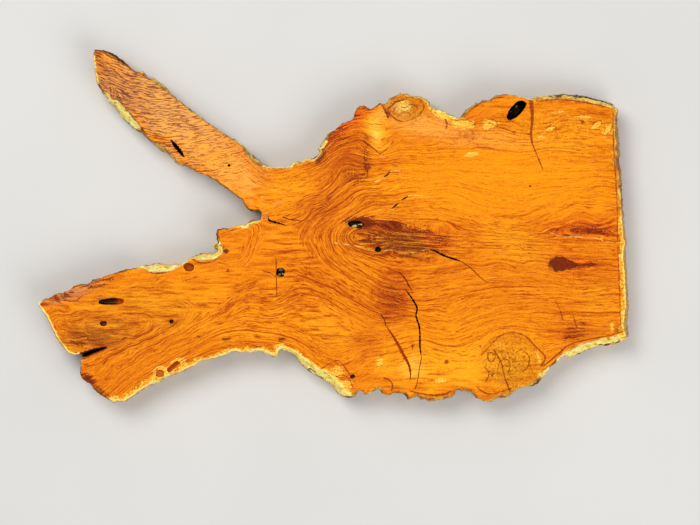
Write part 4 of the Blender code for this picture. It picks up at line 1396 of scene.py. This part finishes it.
give(ring=ring, figure=figure, plain=plain, slack=slack, kerf=kerf)
give(sapwood=sapwood, bark=bark_all, hollow=hollow, fluff=fluff, below=below)
give(dark_stain=dark_stain, pale_stain=pale_stain, eyes=eyes, knot=knot, wood_colour=colour)
give(rim_gap=rim_gap / MM, band=band / MM, paleness=paleness[column])
give(**{finish + "_gap": gap / MM for finish, gap in gaps.items()})
mesh.calc_loop_triangles()
print("slab_wood has", len(mesh.vertices), "points and", len(mesh.loop_triangles), "triangles")

# %% [markdown]
# ## Writing shaders as sums
#
# A material is a sum of small effects, and it reads best as one. A wire stands for what comes out of
# a node, and adding or multiplying two wires adds the Math node that does it. A colour may be given
# by the name of its tone.

# %% Wires and finishes
class Wire:
    """What comes out of a node's socket. Sums and products of wires are Math nodes."""

    def __init__(self, finish, socket):
        self.finish, self.socket = finish, socket

    def __add__(self, other):
        return self.finish.math("ADD", self, other)

    def __sub__(self, other):
        return self.finish.math("SUBTRACT", self, other)

    def __rsub__(self, other):
        return self.finish.math("SUBTRACT", other, self)

    def __mul__(self, other):
        return self.finish.math("MULTIPLY", self, other)

    __radd__, __rmul__ = __add__, __mul__

    def step(self, low, high):
        """Formula: 0 below low and 1 above high, smooth between, or the other way round."""
        if low > high:
            return 1 - self.step(high, low)
        settings = {"interpolation_type": "SMOOTHSTEP"}
        return self.finish.node("ShaderNodeMapRange", settings, {0: self, 1: low, 2: high})


class Finish:
    """A material whose nodes are made one by one, and that ends in a Principled surface."""

    def __init__(self, name):
        self.material = bpy.data.materials.new(name)
        self.material.use_nodes = True
        self.tree = self.material.node_tree
        self.surface = self.tree.nodes["Principled BSDF"]

    def plug(self, socket, value):
        """Plugs in a wire, a number, a colour or the name of a tone."""
        if isinstance(value, Wire):
            self.tree.links.new(value.socket, socket)
        else:
            socket.default_value = (*linear(value), 1.0) if isinstance(value, str) else value

    def node(self, kind, settings=None, inputs=None, output=0):
        """Makes a node, sets its settings and then its sockets, and gives back one output, or all."""
        made = self.tree.nodes.new(kind)
        for name, value in (settings or {}).items():
            setattr(made, name, value)
        for key, value in (inputs or {}).items():
            self.plug(made.inputs[key], value)
        if output is None:
            return [Wire(self, socket) for socket in made.outputs]
        return Wire(self, made.outputs[output])

    def math(self, operation, *values):
        return self.node("ShaderNodeMath", {"operation": operation}, dict(enumerate(values)))

    def vector(self, *values):
        return self.node("ShaderNodeCombineXYZ", {}, dict(enumerate(values)))

    def attribute(self, name, output="Fac"):
        return self.node("ShaderNodeAttribute", {"attribute_name": name}, output=output)

    def noise(self, places, scale, detail=2.0, roughness=0.5):
        sockets = {"Vector": places, "Scale": scale, "Detail": detail, "Roughness": roughness}
        return self.node("ShaderNodeTexNoise", {}, sockets)

    def mix(self, share, first, second, blend="MIX"):
        """Colours first and second, blended by the share."""
        settings = {"data_type": "RGBA", "blend_type": blend}
        return self.node("ShaderNodeMix", settings, {0: share, 6: first, 7: second}, output=2)

    def lay(self, ground, *layers):
        """Lays pairs of a cover, from 0 to 1, and a colour over the ground, one over the other."""
        for cover, colour in layers:
            ground = self.mix(cover, ground, colour)
        return ground

    def finish(self, **sockets):
        """Plugs the surface's own sockets, named with underscores for spaces."""
        for name, value in sockets.items():
            self.plug(self.surface.inputs[name.replace("_", " ")], value)
        return self.material


print("wires and finishes ready")

# %% [markdown]
# ## The oiled plum
#
# Three things make the figure. Growth rings end in a thin darker line, stronger in some years than in
# others. Fibres and vessels run with them as fine dashes. And the colour drifts slowly from ring to
# ring. All three read the ring count, so they bend round the crotch and the knots as the grain does.
# Where rings lie far apart a faster count takes over, and where the saw ran along one ring there are
# plain fibres. A noise's scale is in turns a metre or a ring, and a step's two numbers are where an
# effect starts and where it is full.

# %% Grain
wood = Finish("oiled_plum")
spot = wood.node("ShaderNodeTexCoord", output="Object")
x, y, z = wood.node("ShaderNodeSeparateXYZ", {}, {0: spot}, output=None)
strength, slack, kerf = wood.attribute("figure"), wood.attribute("slack"), wood.attribute("kerf")
drift = wood.noise(spot, 70, 2) - 0.5
wobble = wood.noise(spot, 300, 2) - 0.5
speck = wood.noise(spot, 800, 2, 0.7) - 0.5
grain = wood.attribute("ring") + (drift * 0.5 + wobble * 0.22) * (1 - 0.7 * slack)


def along(stretch, pace, shift=0.0):
    """Places for a noise that is long along the grain and short across it."""
    return wood.vector(x * stretch, y * stretch, grain * pace + shift)


def yearly(pace, rise, seed):
    """Formula: the share t of each year grows to its dark late wood and falls at once; every year
    has its own strength, which comes and goes along the line."""
    turn = grain * pace + seed
    share, year = wood.math("FRACT", turn), wood.math("FLOOR", turn)
    own = wood.node("ShaderNodeTexWhiteNoise", {"noise_dimensions": "1D"}, {"W": year})
    fade = wood.noise(wood.vector(x * 24, y * 24, year * 7.3), 1, 2).step(0.38, 0.62)
    line = share.step(rise, 0.94) * share.step(1.0, 0.96)
    return line * (0.1 + 0.9 * own * own) * (0.15 + 0.85 * fade)


rings = yearly(0.85, 0.45, 3.0) * (1 - slack) + yearly(1.9, 0.4, 11.5) * 0.6
rings = rings + yearly(4.3, 0.35, 5.5) * slack
broad = wood.noise(along(12, 0.9), 1, 2, 0.5) - 0.5
near_fibre = wood.noise(along(52, 2.3), 1, 4, 0.68) - 0.5
slack_fibre = wood.noise(along(60, 7.0), 1, 4, 0.68) - 0.5
fibre = near_fibre + (slack_fibre - near_fibre) * slack
vessels = wood.noise(along(150, 5.0, 4.0), 1, 1, 0.5).step(0.57, 0.66)
glints = wood.noise(along(110, 4.2, 9.0), 1, 1, 0.5).step(0.6, 0.72)
plain_fibre = wood.noise(wood.vector(x * 55, y * 420, z * 420), 1, 4, 0.66) - 0.5
print("grain has", len(wood.tree.nodes), "nodes")

# %% [markdown]
# ## Saw marks
#
# The upper limb still carries the marks of the saw: strokes about two millimetres apart, on arcs
# about a far middle, and broken into short dashes where the fibres tore. Their stripes go into the
# colour as well as the bump, partly as painted light and shade of the ridges.

# %% Saw marks
KERF_MIDDLE = (*place((175, -80)), THICKNESS)
KERF_PITCH = 2.4 * PIXEL
from_middle = {0: spot, 1: KERF_MIDDLE}
arc = wood.node("ShaderNodeVectorMath", {"operation": "DISTANCE"}, from_middle, output="Value")
stroke = arc * (1 / KERF_PITCH) + drift * 2.4 + wobble * 0.6
saw_dash = wood.noise(wood.vector(x * 130, y * 130, stroke * 2.1), 1, 3, 0.7)
saw_cut = saw_dash.step(0.5, 0.6) * 0.95 - saw_dash.step(0.5, 0.38) * 0.65
saw_wave = wood.math("SINE", stroke * (2 * math.pi))
# The saw marks lighten and darken the colour as well as the bump: partly torn fibres, partly painted
# light and shade of the ridges.
saw = kerf * (saw_cut * 1.55 + saw_wave * 0.35 + wood.noise(spot, 45, 2) * 0.5 - 0.3)
print("one saw stroke every", round(KERF_PITCH / MM, 1), "mm")

# %% [markdown]
# ## From grain to colour
#
# The grain darkens the painted ground towards red brown and, where it is thin, lightens it towards
# gold. Stains, lines and the rim's sapwood come over it, each with a border that breaks up along the
# fibres.

# %% Figure and marks
FIGURE_DEEPENS = 0.5, 0.2, 0.18, 1  # what deep grain multiplies the ground by
# SAW_DEEPENS darkens the saw marks' stripes, partly as painted shade of their ridges.
SAW_DEEPENS = 0.36, 0.2, 0.27, 1
EYE_SCALE = 270.0  # eyes of the burls a metre

figure_shade = rings * 1.1 + broad * 1.3 + fibre * 2.9 + vessels * 0.75 - glints * 0.7
# The saw term here paints the saw ridges' light and shade, in part, into the colour.
shade = strength * figure_shade + wood.attribute("plain") * plain_fibre * 4.2 + saw + speck * 1.6 + 0.03
ground = wood.attribute("wood_colour", "Color")
deeper = wood.mix(1.0, ground, wood.mix(kerf, FIGURE_DEEPENS, SAW_DEEPENS), "MULTIPLY")
body = wood.mix(shade, ground, deeper)
body = wood.mix(shade * -1.2, body, wood.mix(0.6, ground, "gold"))

cells = {"Vector": wood.vector(x + wobble * 0.004, y + drift * 0.004, z), "Scale": EYE_SCALE}
eye = wood.node("ShaderNodeTexVoronoi", {"feature": "F1"}, cells, output="Distance")
hills = wood.math("FRACT", wood.noise(spot, 75, 3, 0.55) * 13.0)
loops = hills.step(0.6, 0.9) * hills.step(1.0, 0.94) * 0.8
curl = wood.attribute("eyes") * (eye.step(0.32, 0.1) * 0.8 + loops)

ragged = fibre * 1.3 + speck * 0.6 + rings * 0.15
dark_stain = wood.attribute("dark_stain")
dark = (dark_stain + ragged * 1.5).step(0.46, 0.66) * 0.88
dark_tone = wood.mix((fibre + speck).step(-0.1, 0.15), "russet", "maroon")
core = (dark_stain + ragged * 0.9).step(0.72, 0.95) * 0.85
knot = wood.attribute("knot") + speck * 0.25
knot_figure = wood.noise(wood.vector(x * 420, y * 420, knot * 6.0), 1, 3, 0.65)
knot_tone = wood.mix(knot_figure.step(0.46, 0.72), "maroon", "blood")
knot_tone = wood.mix(knot.step(0.3, 0.05) * 0.75, knot_tone, "char")
pale = (wood.attribute("pale_stain") + ragged * -1.3).step(0.44, 0.6) * 0.7
pale_tone = wood.mix((speck + fibre).step(-0.15, 0.1), "lemon", "gold")
body = wood.lay(body, (curl, deeper), (dark, dark_tone), (core, "maroon"))
body = wood.lay(body, (knot.step(-0.16, 0.18) * 0.95, knot_tone), (pale, pale_tone))
print("figure has", len(wood.tree.nodes), "nodes so far")

# %% [markdown]
# ## Rim, lines, edge and holes
#
# The rim's band of sapwood crumbles into the face. Lines come over it; a check's black line is painted
# shade in its crack. The edge is pale sapwood under a rind, with a wall streaked in layers below and
# bark on top, and a hole is painted darker with its depth: stained wood at the mouth, painted shade
# deeper in.

# %% Rim and lines
rim_gap, band = wood.attribute("rim_gap"), wood.attribute("band")
paleness = wood.attribute("paleness")
crumble = (wood.noise(spot, 420, 3, 0.65) - 0.5) * 5.0
band_cover = (band - rim_gap + crumble * 0.55).step(-0.15, 0.35) * band.step(0.1, 0.6) * 0.85
mottle = wood.noise(spot, 520, 3, 0.65)
pale_rim = wood.mix(mottle.step(0.4, 0.5), "lemon", "gold")
brown_rim = wood.mix(mottle.step(0.4, 0.55), "olive", "rust")
band_tone = wood.mix((paleness * 1.4 + crumble * 0.25 - 0.3).step(0.2, 0.7), brown_rim, pale_rim)
band_tone = wood.mix(mottle.step(0.54, 0.64) * 0.85, band_tone, "cocoa")
# Darker towards maroon within about 0.7 mm of the rim, broken up by noise.
rim_darkening = (rim_gap * -1.0 + 0.5 + crumble * 0.5).step(-0.2, 0.5) * 0.7

thread = (wood.attribute("thread_gap") + 0.15 + wobble * 1.2).step(0.1, -0.2) * 0.75
broken = (wood.noise(spot, 260, 3, 0.6) - 0.46) * 1.6
seam = (wood.attribute("seam_gap") + broken).step(0.4, -0.1) * 0.85
seam_tone = wood.mix(speck.step(-0.1, 0.1), "russet", "maroon")
# A check's char line is painted shade inside the hairline crack.
check = (wood.attribute("check_gap") + wobble * 0.5).step(0.12, -0.12)
body = wood.lay(body, (band_cover, band_tone), (rim_darkening, "maroon"))
body = wood.lay(body, (thread, "straw"), (seam, seam_tone), (check, "char"))
print("with rim and lines", len(wood.tree.nodes), "nodes")

# %% Edge and holes
sap_mask, bark_mask = wood.attribute("sapwood"), wood.attribute("bark")
streak = wood.noise(wood.vector(x * 150, y * 150, z * 900), 1, 3, 0.6)
layers = wood.noise(wood.vector(x * 34, y * 34, z * 650), 1, 4, 0.62)
stain = wood.noise(spot, 160, 3, 0.6)
crevice = wood.noise(spot, 420, 2, 0.6)

sap_tone = wood.lay(
    wood.mix(stain.step(0.4, 0.6), "cream", "lemon"),
    (wood.noise(spot, 380, 3, 0.65).step(0.52, 0.66) * 0.75, "olive"),
    (streak.step(0.56, 0.72) * 0.6, "rust"),
    (stain.step(0.6, 0.7) * 0.7, "cocoa"),
)
rind_tone = wood.mix(stain.step(0.42, 0.58), "cocoa", "maroon")
rind_tone = wood.mix(streak.step(0.5, 0.6) * 0.7, rind_tone, "olive")
sap_tone = wood.mix((paleness + (stain - 0.5) * 1.2).step(0.2, 0.6), rind_tone, sap_tone)
wall_tone = wood.lay(
    wood.mix(layers.step(0.4, 0.6), "straw", "tan"),
    (layers.step(0.58, 0.68) * 0.75, "cocoa"),
    (stain.step(0.5, 0.7) * 0.6, "rust"),
    (paleness.step(0.7, 0.2) * 0.45, "cocoa"),
)
bark_tone = wood.mix(crevice.step(0.35, 0.7), "char", "bark")
bark_tone = wood.mix(layers.step(0.5, 0.66) * 0.7, bark_tone, "cocoa")
bark_cover = (bark_mask + (crevice - 0.5) * 1.1 + (layers - 0.5) * 0.9).step(0.7, 1.0)
sap_tone = wood.lay(sap_tone, (wood.attribute("below") * 0.92, wall_tone), (bark_cover, bark_tone))

hollow = wood.attribute("hollow")
# Rust to maroon for stained hole walls, then char where deep: painted shade.
pit_tone = wood.mix(hollow.step(0.2, 0.5), "rust", "maroon")
pit_tone = wood.mix(hollow.step(0.5, 0.85), pit_tone, "char")
fluff = (wood.attribute("fluff") + speck * 1.2).step(0.4, 0.6)
body = wood.lay(body, (sap_mask, sap_tone), (hollow.step(0.0, 0.25), pit_tone), (fluff, "cream"))
print("with edge and holes", len(wood.tree.nodes), "nodes")

# %% Plum wood
BUMP_STRENGTH, BUMP_DISTANCE = 0.35, 0.4 * MM
OIL_GLOSS = 0.42
AMBER_GLEAM = 1.0, 0.6, 0.15, 1.0  # oil over amber wood gives back warm light

relief = strength * (rings * -0.4 + fibre * 0.7 - vessels * 0.7) + saw * 0.6 + check * -3.0
relief = relief + sap_mask * streak * 2.0 + bark_mask * crevice * 2.0
lit = {"Strength": BUMP_STRENGTH, "Distance": BUMP_DISTANCE, "Height": relief}
wood.finish(
    Base_Color=body,
    Roughness=OIL_GLOSS + sap_mask * 0.3 + fibre * 0.2,
    Normal=wood.node("ShaderNodeBump", {}, lit),
    Specular_IOR_Level=0.3,
    Specular_Tint=AMBER_GLEAM,
)
mesh.materials.append(wood.material)
print("oiled plum has", len(wood.tree.nodes), "nodes")

# %% Putting the skin on the frame
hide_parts("plum_slab")
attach(slab, "root")

# %% [markdown]
# ## Stage and light
#
# The slab lies on a plain pale floor. A broad soft key light stands towards the upper left, so that
# the shadow falls to the lower right as in the photograph, and a weaker fill keeps it open. The
# standard view leaves the orange as deep as it is; a filmic one would wash it out.

# %% Stage
FLOOR_HALF = 3.0
STUDIO_GLOW = 0.45
WHITE = 1, 1, 1, 1

floor_mesh = bpy.data.meshes.new("floor")
corners = [(x * FLOOR_HALF, y * FLOOR_HALF, 0) for x, y in ((-1, -1), (1, -1), (1, 1), (-1, 1))]
floor_mesh.from_pydata(corners, [], [(0, 1, 2, 3)])
floor = bpy.data.objects.new("floor", floor_mesh)
bpy.context.collection.objects.link(floor)
paper = Finish("pale_floor")
cloud = paper.noise(paper.node("ShaderNodeTexCoord", output="Object"), 6, 2)
paper_tone = paper.mix(cloud, (0.6, 0.59, 0.57, 1), (0.66, 0.65, 0.63, 1))
paper.finish(Base_Color=paper_tone, Roughness=0.9, Specular_IOR_Level=0.1)
floor_mesh.materials.append(paper.material)


def soft_light(name, where, size, power):
    """A square area light that looks at the slab's middle."""
    data = bpy.data.lights.new(name, "AREA")
    data.size, data.energy = size, power
    lamp = bpy.data.objects.new(name, data)
    lamp.location = where
    to_slab = -lamp.location
    lamp.rotation_euler = to_slab.to_track_quat("-Z", "Y").to_euler()
    bpy.context.collection.objects.link(lamp)


soft_light("key", where=(-0.8, 0.9, 2.0), size=1.2, power=34)
soft_light("fill", where=(1.0, -1.0, 1.5), size=1.4, power=20)
world = bpy.data.worlds.new("studio")
bpy.context.scene.world = world
world.use_nodes = True
world.node_tree.nodes["Background"].inputs["Color"].default_value = WHITE
world.node_tree.nodes["Background"].inputs["Strength"].default_value = STUDIO_GLOW
bpy.context.scene.view_settings.view_transform = "Standard"
print("stage lit")
